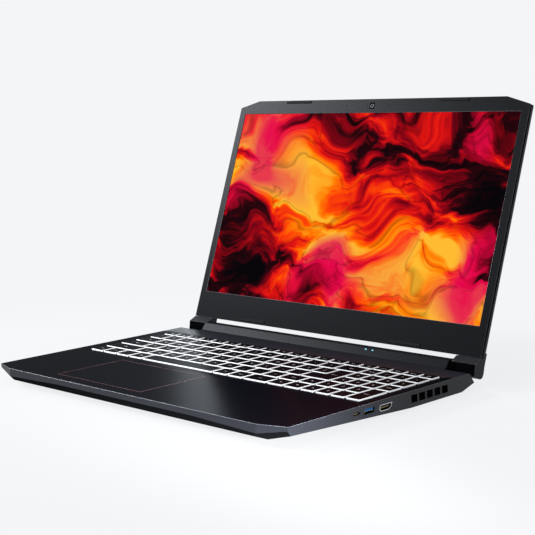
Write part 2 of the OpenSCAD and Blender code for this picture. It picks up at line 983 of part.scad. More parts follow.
module cooling_fins() {
    z0 = inside_z;
    fins = floor((fin_x1 - fin_x0 - 1) / fin_pitch);
    color([0.75, 0.76, 0.78])
        base_frame()
            both_sides() {
                box([fin_x0, fin_front, z0 + fin_h - 0.8], [fin_x1, fin_rear, z0 + fin_h]);
                box([fin_x0, fin_front, z0], [fin_x1, fin_rear, z0 + 0.6]);
                for (i = [0:fins])
                    box([fin_x0 + i * fin_pitch, fin_front, z0],
                        [fin_x0 + i * fin_pitch + 0.8, fin_rear, z0 + fin_h]);
            }
}

// A fan case with a round chamber, open to the rear, with intakes above and below
module fan_case(side) {
    r = rotor_r + 1.5;
    z0 = inside_z;
    z1 = inside_z + fan_h;
    skin = 0.8;
    color([0.09, 0.09, 0.10])
        base_frame()
            translate([side * fan_x, fan_y, 0])
                difference() {
                    box([-fan_half, -fan_half, z0], [fan_half, fan_half + 5, z1]);
                    translate([0, 0, z0 + skin])
                        cylinder(h = fan_h - 2 * skin, r = r);
                    box([-r, 0, z0 + skin], [r, fan_half + 6, z1 - skin]);
                    translate([0, 0, z1 - skin - 1])
                        cylinder(h = skin + 2, r = fan_eye);
                    difference() {
                        translate([0, 0, z0 - 1])
                            cylinder(h = skin + 2, r = fan_eye);
                        translate([0, 0, z0 - 2])
                            cylinder(h = skin + 4, r = 12);
                        for (a = [45, 135])
                            rotate([0, 0, a])
                                cube([60, 4, 20], center = true);
                    }
                }
    color([0.6, 0.6, 0.62])
        base_frame()
            translate([side * fan_x, fan_y, z0 + skin - near])
                cylinder(h = 4.5, r = 1.5);
}

module left_fan_housing() {
    fan_case(-1);
}

module right_fan_housing() {
    fan_case(1);
}

module fan_rotor(side) {
    z0 = inside_z + 1.3;
    h = fan_h - 2.6;
    color([0.12, 0.12, 0.13])
        base_frame()
            translate([side * fan_x, fan_y, 0])
                difference() {
                    union() {
                        translate([0, 0, z0])
                            cylinder(h = h, r = 12);
                        for (i = [0:blades - 1])
                            rotate([0, 0, i * 360 / blades])
                                translate([11.4, 0, z0 + 0.6])
                                    rotate([0, 0, side * 25])
                                        cube([rotor_r - 14, 0.7, h - 1.2]);
                    }
                    translate([0, 0, z0 - 1])
                        cylinder(h = 5.5, r = 1.55);
                }
}

module left_fan_rotor() {
    fan_rotor(-1);
}

module right_fan_rotor() {
    fan_rotor(1);
}

module battery_pack() {
    color([0.07, 0.07, 0.08])
        base_frame()
            for (i = [0:2])
                translate([battery_x + i * (cell_w + cell_gap), front_y + 24, inside_z])
                    cube([cell_w, cell_w, 7.2]);
}

module ssd_module() {
    color([0.08, 0.2, 0.3])
        base_frame() {
            y = board_front + 8;
            end = ssd_x + ssd_l;
            box([ssd_x, y, board_top + 1.2], [end, y + ssd_w, board_top + 2]);
            box([ssd_x - 2, y, board_top], [ssd_x + 6, y + ssd_w, board_top + 1.2 + near]);
            box([end - 6, y + 6, board_top], [end, y + ssd_w - 6, board_top + 1.2 + near]);
            for (i = [0:2])
                translate([ssd_x + 12 + i * 20, y + 3, board_top + 2 - near])
                    cube([15, ssd_w - 6, 1 + near]);
        }
}

module memory_modules() {
    color([0.1, 0.32, 0.16])
        base_frame()
            for (i = [0, 1]) {
                z = board_top + 0.9 + i * 1.5;
                box([-34, board_front + 8, z], [34, board_front + 38, z + 0.6]);
                box([-36, board_front + 4, board_top], [36, board_front + 8, z + 0.6]);
            }
}

module wireless_card() {
    color([0.1, 0.3, 0.2])
        base_frame() {
            box([-84, board_front + 8, board_top], [-62, board_front + 14, board_top + 1.6]);
            box([-84, board_front + 14 - near, board_top + 0.8], [-62, board_front + 38, board_top + 1.5]);
            box([-81, board_front + 18, board_top + 1.5 - near], [-65, board_front + 34, board_top + 2.6]);
            box([-76, board_front + 35, board_top], [-70, board_front + 38, board_top + 0.8 + near]);
        }
}

module speaker(side) {
    color([0.05, 0.05, 0.05])
        base_frame()
            translate([side * speaker_x, front_y + 66, 0])
                difference() {
                    box([-9, -14, inside_z], [9, 14, inside_z + 5]);
                    translate([0, 0, inside_z - 1])
                        cylinder(h = 2.5, r = 6.5);
                }
}

module left_speaker() {
    speaker(-1);
}

module right_speaker() {
    speaker(1);
}

// ---------- ports ----------

port_face = wall_x + 0.4;
port_depth = 14;

// A metal receptacle facing +X: a hollow shell with a contact tongue inside
module receptacle(place, tongue_h, tongue_up) {
    y = place[0];
    z = place[1];
    w = place[2] - 0.4;
    h = place[3] - 0.4;
    skin = 0.4;
    difference() {
        box([port_face - port_depth, y - w / 2, z - h / 2], [port_face, y + w / 2, z + h / 2]);
        box([port_face - port_depth + 1.5, y - w / 2 + skin, z - h / 2 + skin],
            [port_face + 1, y + w / 2 - skin, z + h / 2 - skin]);
    }
    box([port_face - port_depth + 1, y - w / 2 + 1.4, z + tongue_up - tongue_h / 2],
        [port_face - 1, y + w / 2 - 1.4, z + tongue_up + tongue_h / 2]);
    // Foot on the main board
    box([port_face - port_depth, y - w / 2, board_top],
        [port_face - port_depth + 4, y + w / 2, z - h / 2 + near]);
}

module usb_c_port() {
    color([0.6, 0.6, 0.62])
        base_frame()
            receptacle(usb_c_place, 0.7, 0);
}

module usb_a_port_right() {
    color([0.1, 0.35, 0.75])
        base_frame()
            receptacle(usb_a_place, 1.9, 1);
}

module hdmi_port() {
    color([0.7, 0.68, 0.6])
        base_frame()
            receptacle(hdmi_place, 1.3, 0.6);
}

module usb_a_ports_left() {
    color([0.12, 0.12, 0.13])
        base_frame()
            mirror([1, 0, 0])
                for (y = left_usb_places)
                    receptacle([y, usb_a_place[1], usb_a_place[2], usb_a_place[3]], 1.9, 1);
}

module ethernet_port() {
    y = ethernet_place[0];
    z = ethernet_place[1];
    w = ethernet_w + 2 * ethernet_t;
    h = ethernet_h + 1;
    color([0.15, 0.15, 0.16])
        base_frame()
            difference() {
                box([-port_face + 0.2, y - w / 2, z - h / 2], [-port_face + 15, y + w / 2, z + h / 2]);
                box([-port_face - 1, y - ethernet_w / 2, z - ethernet_h / 2],
                    [-port_face + 13, y + ethernet_w / 2, z + ethernet_h / 2]);
            }
}

module audio_jack() {
    color([0.05, 0.05, 0.05])
        base_frame() {
            translate([-port_face, audio_place[0], audio_place[1]])
                rotate([0, 90, 0])
                    difference() {
                        cylinder(h = port_depth, r = audio_r + 1.1);
                        translate([0, 0, -1])
                            cylinder(h = port_depth - 1, r = audio_r);
                    }
            box([-port_face + port_depth - 5, audio_place[0] - 2.8, board_top],
                [-port_face + port_depth, audio_place[0] + 2.8, audio_place[1] - audio_r - 0.6]);
        }
}

module power_jack() {
    x = power_place[0];
    z = power_place[1];
    face = rear_y - 0.4;
    depth = 9.4;
    color([0.08, 0.08, 0.09])
        base_frame() {
            translate([x, face, z])
                rotate([90, 0, 0])
                    difference() {
                        cylinder(h = depth, r = power_r + 1.1);
                        translate([0, 0, -1])
                            cylinder(h = depth, r = power_r);
                    }
            translate([x, face - 1, z])
                rotate([90, 0, 0])
                    cylinder(h = depth - 1.5, r = 0.8);
            box([x - 3, face - depth, inside_z], [x + 3, face - depth + 4, z - power_r - 0.6]);
        }
}

// ---------- hinge ----------

module hinge_shafts() {
    color([0.62, 0.63, 0.65])
        base_frame()
            both_sides() {
                translate([bar_half - 20, axis_y, axis_z])
                    rotate([0, 90, 0])
                        cylinder(h = 37, r = shaft_r);
                difference() {
                    box([bar_half - 19, axis_y - 1, inside_z], [bar_half - 6, axis_y + 1, axis_z]);
                    translate([0, -5, 0])
                        box([bar_half - 16, axis_y, inside_z + 3], [bar_half - 9, axis_y + 10, inside_z + 6]);
                }
                box([bar_half - 19, axis_y - 20, inside_z], [bar_half - 6, axis_y + 1, inside_z + 1.6]);
            }
}

module lid_hinge_arms() {
    arm_z0 = -lid_t + lid_skin + 0.1;
    arm_z1 = arm_z0 + 1.2;
    x0 = ear_in + 1.4;
    color([0.62, 0.63, 0.65])
        lid_frame()
            both_sides()
                difference() {
                    union() {
                        translate([x0, -axis_below, closed_gap])
                            rotate([0, 90, 0])
                                cylinder(h = 14.9, r = knuckle_r);
                        box([x0, -axis_below - 2, arm_z0], [x0 + 10, -axis_below + 3, closed_gap]);
                        box([x0, -axis_below - 2, arm_z0], [x0 + 10, 70, arm_z1]);
                    }
                    translate([x0 - 1, -axis_below, closed_gap])
                        rotate([0, 90, 0])
                            cylinder(h = 17, r = shaft_r + shaft_clear);
                }
}

// ---------- lid ----------

function lid_points(inset) = mirrored([
    [lid_half - inset, -lid_skirt + inset],
    [lid_half - inset, lid_top - lid_cut_y - inset * 0.8],
    [lid_half - lid_cut_x - inset * 0.15, lid_top - inset]
]);

module lid_slab(inset, low, high) {
    translate([0, 0, -low])
        linear_extrude(low - high)
            polygon(lid_points(inset));
}

// The back cover's outside: bevelled at the back, its lower face leaning to clear the hinge bar
module lid_back_outer() {
    b = back_bevel;
    intersection() {
        union() {
            lid_slab(0, lid_t, bezel_t + groove_w);
            lid_slab(groove_d, bezel_t + groove_w + near, bezel_t);
        }
        prism_y(-lid_skirt - 5, lid_top + 5, mirrored([
            [lid_half - b, -lid_t], [lid_half, -lid_t + 2 * b], [lid_half, 1]
        ]));
        prism_x(-lid_half, lid_half, [
            [-back_low, -lid_t], [-lid_skirt, 0], [-lid_skirt, 1],
            [lid_top, 1], [lid_top, -lid_t + 2 * b], [lid_top - b, -lid_t]
        ]);
    }
}

// One ear, from its side profile around the hinge axis
module ear_block() {
    y = -axis_below;
    z = closed_gap;
    prism_x(ear_in, lid_half, [
        [-lid_skirt + 5.4, -lid_t], [-lid_skirt + 5.4, -bezel_t - groove_w],
        [-lid_skirt - 0.15, -bezel_t - groove_w], [-lid_skirt - 0.15, -0.2],
        [y + 4, z + 5.5], [y - 6, z + 3.4], [y - 7, z + 1.9], [y - 7, z - 5.8],
        [y - 5.4, z - 8.4], [y - 1.9, z - 9.3], [y + 5, -lid_t]
    ]);
}

module lid_back_cover() {
    color([0.16, 0.165, 0.18])
        lid_frame()
            difference() {
                union() {
                    lid_back_outer();
                    both_sides()
                        ear_block();
                }
                translate([0, 0, -lid_t + lid_skin])
                    linear_extrude(lid_t - lid_skin + 1)
                        polygon(mirrored([
                            [lid_half - groove_d - lid_wall, -back_low + lid_wall + 0.3],
                            [lid_half - groove_d - lid_wall, lid_top - lid_cut_y - 2.5],
                            [lid_half - lid_cut_x - 0.5, lid_top - groove_d - lid_wall]
                        ]));
                both_sides() {
                    translate([ear_in - 1, -axis_below, closed_gap])
                        rotate([0, 90, 0])
                            cylinder(h = 18, r = knuckle_r + 0.2);
                    box([ear_in + 1.1, -axis_below - 2.3, -lid_t + lid_skin],
                        [ear_in + 11.7, -20, -1]);
                }
            }
}

module lid_bezel() {
    color([0.13, 0.135, 0.145])
        lid_frame()
            difference() {
                intersection() {
                    lid_slab(0, bezel_t, 0);
                    prism_x(-lid_half, lid_half, [
                        [-lid_skirt + 0.4, -bezel_t], [-lid_skirt, 0], [lid_top, 0], [lid_top, -bezel_t]
                    ]);
                }
                box([-screen_w / 2, 0, -bezel_t - 1], [screen_w / 2, screen_h, 1]);
                box([camera_x - window_w / 2 - 0.1, camera_y - window_h / 2 - 0.1, -bezel_t - 1],
                    [camera_x + window_w / 2 + 0.1, camera_y + window_h / 2 + 0.1, 1]);
            }
}

module lcd_panel() {
    color([0.35, 0.03, 0.03])
        lid_frame()
            box([-screen_w / 2 - panel_side, -panel_below, -panel_back],
                [screen_w / 2 + panel_side, screen_h + panel_above, -panel_front]);
}

module webcam_module() {
    color([0.05, 0.15, 0.1])
        lid_frame() {
            box([camera_x - webcam_half, webcam_y0, -lid_t + 2.7],
                [camera_x + webcam_half, webcam_y0 + webcam_h, -lid_t + 4.7]);
            translate([camera_x, camera_y, -lid_t + 4.7 - near])
                cylinder(h = lid_t - 4.7 - bezel_t + 0.1, r = 2.2);
        }
}

module camera_window() {
    color([0.01, 0.01, 0.01])
        lid_frame()
            box([camera_x - window_w / 2, camera_y - window_h / 2, -0.9],
                [camera_x + window_w / 2, camera_y + window_h / 2, -0.03]);
}

module lid_bumpers() {
    color([0.03, 0.03, 0.03])
        lid_frame()
            both_sides() {
                for (y = [lid_top - bumper_w - 0.9, -lid_skirt + 2])
                    box([bumper_x, y, 0], [bumper_x + bumper_l, y + bumper_w, 0.6]);
            }
}

module display_cable() {
    color([0.15, 0.15, 0.15])
        lid_frame()
            box([100, -back_low + 2.2, -lid_t + lid_skin], [114, -panel_below + 12, -panel_back - 0.2]);
}

module wireless_antennas() {
    color([0.7, 0.6, 0.3])
        lid_frame()
            both_sides()
                box([antenna_x, webcam_y0 + 1, -lid_t + lid_skin],
                    [antenna_x + antenna_l, webcam_y0 + 1 + antenna_h, -lid_t + lid_skin + 0.8]);
}

// ---------- pieces ----------

bottom_cover();
palmrest_deck();
hinge_bar_cover();
rear_grilles();
rubber_feet();
bottom_screws();
keyboard_plate();
dome_sheet();
motherboard();
processors();
heat_pipes();
cooling_fins();
left_fan_housing();
right_fan_housing();
left_fan_rotor();
right_fan_rotor();
battery_pack();
ssd_module();
memory_modules();
wireless_card();
left_speaker();
right_speaker();
usb_c_port();
usb_a_port_right();
hdmi_port();
ethernet_port();
usb_a_ports_left();
audio_jack();
power_jack();
hinge_shafts();
status_lights();
touchpad_bracket();
touchpad();
lid_back_cover();
lid_bezel();
lcd_panel();
webcam_module();
camera_window();
lid_hinge_arms();
lid_bumpers();
display_cable();
wireless_antennas();
space_bar();
enter_key();
backspace_key();
tab_key();
caps_lock_key();
left_shift_key();
right_shift_key();
numpad_enter_key();
power_key();
arrow_keys();
function_row_keys();
number_row_keys();
upper_letter_keys();
home_letter_keys();
lower_letter_keys();
modifier_keys();
numpad_keys();
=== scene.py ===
# %% [markdown]
# # A laptop computer
#
# The construction comes packed from the CAD model: every shell, key, hinge and board is already there at
# its real size. Here each visible surface gets its finish, each edge its small radius, and each key its cap
# and legend. Nothing is moved or resized. Lengths are metres, in the frame of the CAD model: X runs to the
# user's right, Y from the front edge to the rear, Z up.

# %% Load the frame
import json
import math

import bmesh
import bpy
from mathutils import Matrix, Vector
from mathutils.bvhtree import BVHTree


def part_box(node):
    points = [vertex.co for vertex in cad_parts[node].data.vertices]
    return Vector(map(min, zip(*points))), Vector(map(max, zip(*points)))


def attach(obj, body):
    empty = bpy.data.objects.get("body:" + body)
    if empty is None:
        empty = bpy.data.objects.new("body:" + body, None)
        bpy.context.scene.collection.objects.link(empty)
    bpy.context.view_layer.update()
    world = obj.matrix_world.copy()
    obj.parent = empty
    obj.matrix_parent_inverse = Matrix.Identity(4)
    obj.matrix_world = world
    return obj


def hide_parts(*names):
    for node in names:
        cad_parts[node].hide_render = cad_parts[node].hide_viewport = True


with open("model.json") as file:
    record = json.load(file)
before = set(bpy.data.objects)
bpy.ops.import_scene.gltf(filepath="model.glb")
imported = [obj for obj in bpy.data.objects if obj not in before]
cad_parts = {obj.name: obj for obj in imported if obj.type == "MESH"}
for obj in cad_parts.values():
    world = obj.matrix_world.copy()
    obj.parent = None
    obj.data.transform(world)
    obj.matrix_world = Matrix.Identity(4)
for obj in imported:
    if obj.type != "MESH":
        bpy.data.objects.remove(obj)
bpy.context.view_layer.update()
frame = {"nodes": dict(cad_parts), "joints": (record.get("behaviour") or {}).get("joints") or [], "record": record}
nodes = frame["nodes"]
MM = 0.001
scene = bpy.context.scene

# %% [markdown]
# ## The camera
#
# A long lens looks from the front right corner, just above the deck, so that the display and the rows of
# keys are both seen. An empty to track could aim it, but it would leave the roll to chance. So two directions
# are given, where it looks and which way is down, and a matrix is made of them. The optical axis lies a
# little off the middle of the frame, which the lens shift gives back.

# %% Camera
LENS = 87.07
SENSOR = 36.0
SHIFT_X, SHIFT_Y = 0.0306, -0.0296
NEAREST = 0.01
CAMERA_PLACE = Vector((0.8123, -0.8213, 0.2594))
CAMERA_LOOK = Vector((-0.70310, 0.70025, -0.12369))
CAMERA_DOWN = Vector((0.06697, -0.10797, -0.99190))


def make_camera():
    """The camera, turned so that it looks down its own negative Z axis."""
    data = bpy.data.cameras.new("camera")
    data.lens = LENS
    data.sensor_width = SENSOR
    data.shift_x = SHIFT_X
    data.shift_y = SHIFT_Y
    data.clip_start = NEAREST
    camera = bpy.data.objects.new("camera", data)
    scene.collection.objects.link(camera)
    back = -CAMERA_LOOK.normalized()
    up = -CAMERA_DOWN.normalized()
    right = up.cross(back).normalized()
    up = back.cross(right)
    camera.matrix_world = Matrix((right, up, back)).transposed().to_4x4()
    camera.location = CAMERA_PLACE
    scene.camera = camera


make_camera()

# %% [markdown]
# ## Building node trees
#
# A material or a geometry tree is a set of nodes joined by links. They could be laid out by hand in the
# editor. In code a few small helpers keep them readable: one adds a node with its values, one opens a new
# group with named inputs and outputs, and one links results to the group's outputs.

# %% Helpers for node trees


def add(tree, kind, **values):
    """A node with its values.

    _name=value sets a property, in2=value the third input, and a_name=value the input of that name. A value
    is a number or colour, or a socket to link from.
    """
    node = tree.nodes.new(kind)
    for name, value in values.items():
        if name.startswith("_"):
            setattr(node, name[1:], value)
            continue
        numbered = name.startswith("in") and name[2:].isdigit()
        socket = node.inputs[int(name[2:]) if numbered else name.replace("_", " ")]
        if isinstance(value, bpy.types.NodeSocket):
            tree.links.new(value, socket)
        else:
            socket.default_value = value
    return node


def math_node(tree, operation, a, b=0.0, c=0.0):
    """The result of one Math node."""
    return add(tree, "ShaderNodeMath", _operation=operation, in0=a, in1=b, in2=c).outputs[0]


def open_group(name, inputs, outputs, kind="ShaderNodeTree"):
    """A node group with named sockets. inputs are (name, socket type, default)."""
    group = bpy.data.node_groups.new(name, kind)
    for label, socket_type, default in inputs:
        socket = group.interface.new_socket(label, in_out="INPUT", socket_type=socket_type)
        if default is not None:
            socket.default_value = default
    for label, socket_type in outputs:
        group.interface.new_socket(label, in_out="OUTPUT", socket_type=socket_type)
    return group, group.nodes.new("NodeGroupInput"), group.nodes.new("NodeGroupOutput")


def link_outputs(group, out, **sockets):
    """Links each socket to the group's output of that name."""
    for name, socket in sockets.items():
        group.links.new(socket, out.inputs[name])


FLOAT = "NodeSocketFloat"
COLOR = "NodeSocketColor"
VECTOR = "NodeSocketVector"
MATERIAL = "NodeSocketMaterial"
GEOMETRY = "NodeSocketGeometry"


def ramp(tree, factor, stops):
    """A colour ramp from (position, colour) stops."""
    node = add(tree, "ShaderNodeValToRGB", Fac=factor)
    while len(node.color_ramp.elements) < len(stops):
        node.color_ramp.elements.new(1.0)
    for element, (position, colour) in zip(node.color_ramp.elements, stops):
        element.position = position
        element.color = (*colour, 1)
    return node


# %% [markdown]
# ## Finishes that several materials share
#
# Moulded plastic isn't smooth: its mould is etched to a fine grain, which scatters highlights and hides
# scratches. Handling leaves faint, larger patches where the sheen differs. Sheet metal shows the long
# streaks of its rolling. A painted texture could show all this, but noise on object coordinates needs no
# unwrapping and keeps its real size on every piece. Each effect is one shader group, placed in every
# material with its own values.

# %% Shader groups
PATCH_SCALE = 22.0
GRAIN_HEIGHT = 0.04 * MM
STREAK_SCALE = (60, 2600, 2600)
STREAK_HEIGHT = 0.03 * MM


def make_grain_group():
    """Etched mould grain with handling patches: gives colour, roughness and normal."""
    group, into, out = open_group(
        "Moulded grain",
        [("Color", COLOR, (0.1, 0.1, 0.1, 1)), ("Grain size", FLOAT, 0.0004), ("Depth", FLOAT, 0.3),
         ("Roughness", FLOAT, 0.45), ("Patches", FLOAT, 0.06)],
        [("Color", COLOR), ("Roughness", FLOAT), ("Normal", VECTOR)])
    place = add(group, "ShaderNodeTexCoord").outputs["Object"]
    scale = math_node(group, "DIVIDE", 1.0, into.outputs["Grain size"])
    grain = add(group, "ShaderNodeTexNoise", Vector=place, Scale=scale, Detail=2.0, Roughness=0.6)
    patch = add(group, "ShaderNodeTexNoise", Vector=place, Scale=PATCH_SCALE, Detail=4.0, Roughness=0.55,
                Distortion=0.4)
    spread = math_node(group, "SUBTRACT", patch.outputs["Fac"], 0.5)
    rough = math_node(group, "MULTIPLY_ADD", spread, into.outputs["Patches"], into.outputs["Roughness"])
    speck = math_node(group, "SUBTRACT", grain.outputs["Fac"], 0.5)
    fleck = math_node(group, "MULTIPLY_ADD", speck, 0.5, 1.0)
    tone = math_node(group, "MULTIPLY_ADD", spread, into.outputs["Patches"], fleck)
    tint = add(group, "ShaderNodeVectorMath", _operation="SCALE", in0=into.outputs["Color"], Scale=tone)
    bump = add(group, "ShaderNodeBump", Height=grain.outputs["Fac"], Strength=into.outputs["Depth"],
               Distance=GRAIN_HEIGHT)
    link_outputs(group, out, Color=tint.outputs[0], Roughness=rough, Normal=bump.outputs["Normal"])
    return group


def make_brushed_group():
    """Rolled or brushed metal: long streaks along X."""
    group, into, out = open_group(
        "Brushed streaks",
        [("Color", COLOR, (0.5, 0.5, 0.5, 1)), ("Streak", FLOAT, 0.25), ("Roughness", FLOAT, 0.35)],
        [("Color", COLOR), ("Roughness", FLOAT), ("Normal", VECTOR)])
    place = add(group, "ShaderNodeTexCoord").outputs["Object"]
    stretched = add(group, "ShaderNodeMapping", Vector=place, Scale=STREAK_SCALE).outputs[0]
    streak = add(group, "ShaderNodeTexNoise", Vector=stretched, Scale=1.0, Detail=3.0)
    spread = math_node(group, "SUBTRACT", streak.outputs["Fac"], 0.5)
    rough = math_node(group, "MULTIPLY_ADD", spread, into.outputs["Streak"], into.outputs["Roughness"])
    tone = math_node(group, "MULTIPLY_ADD", spread, into.outputs["Streak"], 1.0)
    tint = add(group, "ShaderNodeVectorMath", _operation="SCALE", in0=into.outputs["Color"], Scale=tone)
    bump = add(group, "ShaderNodeBump", Height=streak.outputs["Fac"], Strength=0.15, Distance=STREAK_HEIGHT)
    link_outputs(group, out, Color=tint.outputs[0], Roughness=rough, Normal=bump.outputs["Normal"])
    return group


grain_group = make_grain_group()
brushed_group = make_brushed_group()
print("shader groups:", grain_group.name, brushed_group.name)

# %% [markdown]
# ## The finishes
#
# Each material slot of the CAD model gets one finish, and a few zones and trims get their own. Plastics,
# rubber and painted boards are moulded, metals are brushed, and lights glow. A satin paint has a rough
# clear coat over a dark base, so the deck mirrors the room only softly. One maker function for each kind
# keeps the many finishes alike in build and different only in their values.

# %% Materials from the groups
GLOW_PATCH = 2 * MM


def surface(name):
    """An empty material with its Principled shader."""
    material = bpy.data.materials.new(name)
    material.use_nodes = True
    return material, material.node_tree, material.node_tree.nodes["Principled BSDF"]


def set_shader(shader, **values):
    """Sets the shader's own inputs, each named with underscores for spaces."""
    for name, value in values.items():
        shader.inputs[name.replace("_", " ")].default_value = value


def place_group(tree, shader, group_tree, **values):
    """Sets a shader group in a material and links what it gives to the shader."""
    group = add(tree, "ShaderNodeGroup", _node_tree=group_tree, **values)
    for given, socket in (("Color", "Base Color"), ("Roughness", "Roughness"), ("Normal", "Normal")):
        tree.links.new(group.outputs[given], shader.inputs[socket])


def moulded(name, colour, roughness, grain=0.0004, depth=0.3, patches=0.06, specular=0.5, coat=0.0, blur=0.2):
    """Plastic, rubber or glass with a mould grain. blur is the roughness of its clear coat."""
    material, tree, shader = surface(name)
    place_group(tree, shader, grain_group, Color=(*colour, 1), Grain_size=grain, Depth=depth,
                Roughness=roughness, Patches=patches)
    set_shader(shader, Specular_IOR_Level=specular, Coat_Weight=coat, Coat_Roughness=blur)
    return material


def metal(name, colour, roughness, streak=0.25):
    """Rolled or brushed metal."""
    material, tree, shader = surface(name)
    place_group(tree, shader, brushed_group, Color=(*colour, 1), Streak=streak, Roughness=roughness)
    set_shader(shader, Metallic=1.0)
    return material


def glowing(name, colour, glow, strength):
    """Diffusing plastic with a light behind it: the glow varies softly over it."""
    material, tree, shader = surface(name)
    place = add(tree, "ShaderNodeTexCoord").outputs["Object"]
    cloud = add(tree, "ShaderNodeTexNoise", Vector=place, Scale=1 / GLOW_PATCH, Detail=1.0)
    low = tuple(0.92 * c for c in glow)
    soft = ramp(tree, cloud.outputs["Fac"], [(0.3, low), (0.7, glow)])
    tree.links.new(soft.outputs["Color"], shader.inputs["Emission Color"])
    set_shader(shader, Base_Color=(*colour, 1), Emission_Strength=strength, Roughness=0.4)
    return material


looks = {
    "shell_grey": moulded("shell_grey", (0.018, 0.0194, 0.025), 0.42, depth=0.2, specular=0.14, coat=0.05,
                          blur=0.3),
    "deck_satin": moulded("deck_satin", (0.0030, 0.0034, 0.0055), 0.5, grain=0.0003, depth=0.06, patches=0.05,
                          specular=0.0, coat=0.046, blur=0.22),
    "bar_grey": moulded("bar_grey", (0.008, 0.0085, 0.0105), 0.4, depth=0.12, specular=0.0, coat=0.1,
                        blur=0.3),
    "lid_grey": moulded("lid_grey", (0.014, 0.015, 0.019), 0.42, depth=0.15, specular=0.1, coat=0.1,
                        blur=0.35),
    "bezel_grey": moulded("bezel_grey", (0.0042, 0.0045, 0.0058), 0.5, grain=0.0005, depth=0.1, specular=0.0,
                          coat=0.13, blur=0.32),
    "grille_red": moulded("grille_red", (0.30, 0.012, 0.018), 0.4, depth=0.2),
    "foot_rubber": moulded("foot_rubber", (0.016, 0.016, 0.017), 0.8, grain=0.0007, depth=0.6, specular=0.3),
    "bumper_rubber": moulded("bumper_rubber", (0.006, 0.006, 0.007), 0.75, grain=0.0005, depth=0.4,
                             specular=0.15),
    "fan_plastic": moulded("fan_plastic", (0.02, 0.02, 0.023), 0.5, depth=0.3),
    "speaker_plastic": moulded("speaker_plastic", (0.015, 0.015, 0.016), 0.6, depth=0.4),
    "battery_wrap": moulded("battery_wrap", (0.014, 0.014, 0.016), 0.55, grain=0.0009, depth=0.3),
    "membrane": moulded("membrane", (0.62, 0.63, 0.65), 0.35, grain=0.001, depth=0.15),
    "circuit_board": moulded("circuit_board", (0.012, 0.09, 0.05), 0.32, grain=0.0014, depth=0.4),
    "chip": moulded("chip", (0.03, 0.03, 0.035), 0.2, grain=0.0006, depth=0.1),
    "port_plastic": moulded("port_plastic", (0.008, 0.008, 0.009), 0.45, depth=0.2, specular=0.3),
    "cable_wrap": moulded("cable_wrap", (0.02, 0.02, 0.022), 0.5, grain=0.0008, depth=0.5),
    "keycap": moulded("keycap", (0.002, 0.0024, 0.0034), 0.45, grain=0.00035, depth=0.3, specular=0.0,
                      coat=0.09, blur=0.35),
    "touchpad_plate": moulded("touchpad_plate", (0.0032, 0.0036, 0.0058), 0.5, grain=0.0002, depth=0.06,
                              patches=0.08, specular=0.0, coat=0.048, blur=0.21),
    "camera_glass": moulded("camera_glass", (0.002, 0.002, 0.0025), 0.08, depth=0.0, specular=0.06),
    "screw_steel": metal("screw_steel", (0.18, 0.18, 0.2), 0.4),
    "plate_aluminium": metal("plate_aluminium", (0.6, 0.61, 0.63), 0.4),
    "fin_aluminium": metal("fin_aluminium", (0.7, 0.71, 0.73), 0.35),
    "copper": metal("copper", (0.78, 0.36, 0.2), 0.32),
    "port_metal": metal("port_metal", (0.62, 0.62, 0.64), 0.28, streak=0.15),
    "hinge_steel": metal("hinge_steel", (0.42, 0.43, 0.45), 0.35),
    "bracket_steel": metal("bracket_steel", (0.5, 0.51, 0.53), 0.4),
    "antenna_foil": metal("antenna_foil", (0.75, 0.6, 0.3), 0.35),
    "indicator_light": glowing("indicator_light", (0.1, 0.3, 0.35), (0.10, 0.55, 0.70), 0.8),
}

# %% Finishes of zones, trims and small marks, and painted highlights and shade
skirt_white = glowing("skirt_white", (0.45, 0.45, 0.45), (0.80, 0.82, 0.85), 0.46)
legend_white = glowing("legend_white", (0.45, 0.45, 0.45), (0.45, 0.46, 0.48), 0.18)
# A lighter colour for the deck's rounded rim: a painted highlight.
rim_light = moulded("rim_light", (0.10, 0.105, 0.118), 0.33, depth=0.1, specular=0.35)
# A light grey for the rounded edges of the lid's cover: a painted highlight.
cover_edge = moulded("cover_edge", (0.30, 0.31, 0.33), 0.3, depth=0.1)
# A lighter colour for the bezel's rounded edges: a painted highlight.
edge_sheen = moulded("edge_sheen", (0.09, 0.092, 0.10), 0.35, depth=0.1)
# A darker grey for the belly's slopes and the lower front: painted shade.
shell_under = moulded("shell_under", (0.008, 0.0085, 0.0095), 0.6, depth=0.2, specular=0.0)
# The strip behind the keys: a glossier coat, and a lighter base colour that paints in a reflection.
deck_rear = moulded("deck_rear", (0.010, 0.0118, 0.0165), 0.5, grain=0.0003, depth=0.06, patches=0.05,
                    specular=0.0, coat=0.42, blur=0.42)
trim_red = moulded("trim_red", (0.09, 0.008, 0.012), 0.4, depth=0.1, specular=0.2)
tongue_blue = moulded("tongue_blue", (0.001, 0.07, 0.19), 0.4, depth=0.1, specular=0.1)
contact_gold = metal("contact_gold", (0.85, 0.63, 0.25), 0.25, streak=0.1)
# Black for the ears' fronts, the sockets' cavities and the pinholes: painted shade.
socket_black = moulded("socket_black", (0.003, 0.003, 0.0035), 0.6, depth=0.1, specular=0.0)
lens_glass = moulded("lens_glass", (0.004, 0.005, 0.010), 0.08, depth=0.0, specular=0.15)
# A dark metal for the USB sockets' mouths, much darker than the video socket's metal: painted shade.
mouth_dark = metal("mouth_dark", (0.07, 0.07, 0.08), 0.4, streak=0.15)
print("slots with a finish:", len(looks))

# %% [markdown]
# ## The picture on the display
#
# The panel glows, so its picture is an emission. It is an abstract design of its own: long silk-like folds
# that sweep up from the lower right, in black, deep red, scarlet, amber and magenta. An image could be
# loaded, but a design made of noise stays sharp at any size. Noise that is pushed about by slower noise
# draws the folds, and one ramp colours them. Two more noises add patches of magenta and thin dark veins. The
# pattern is laid out in the lid's own plane, so a Mapping node first turns the tilted panel upright.

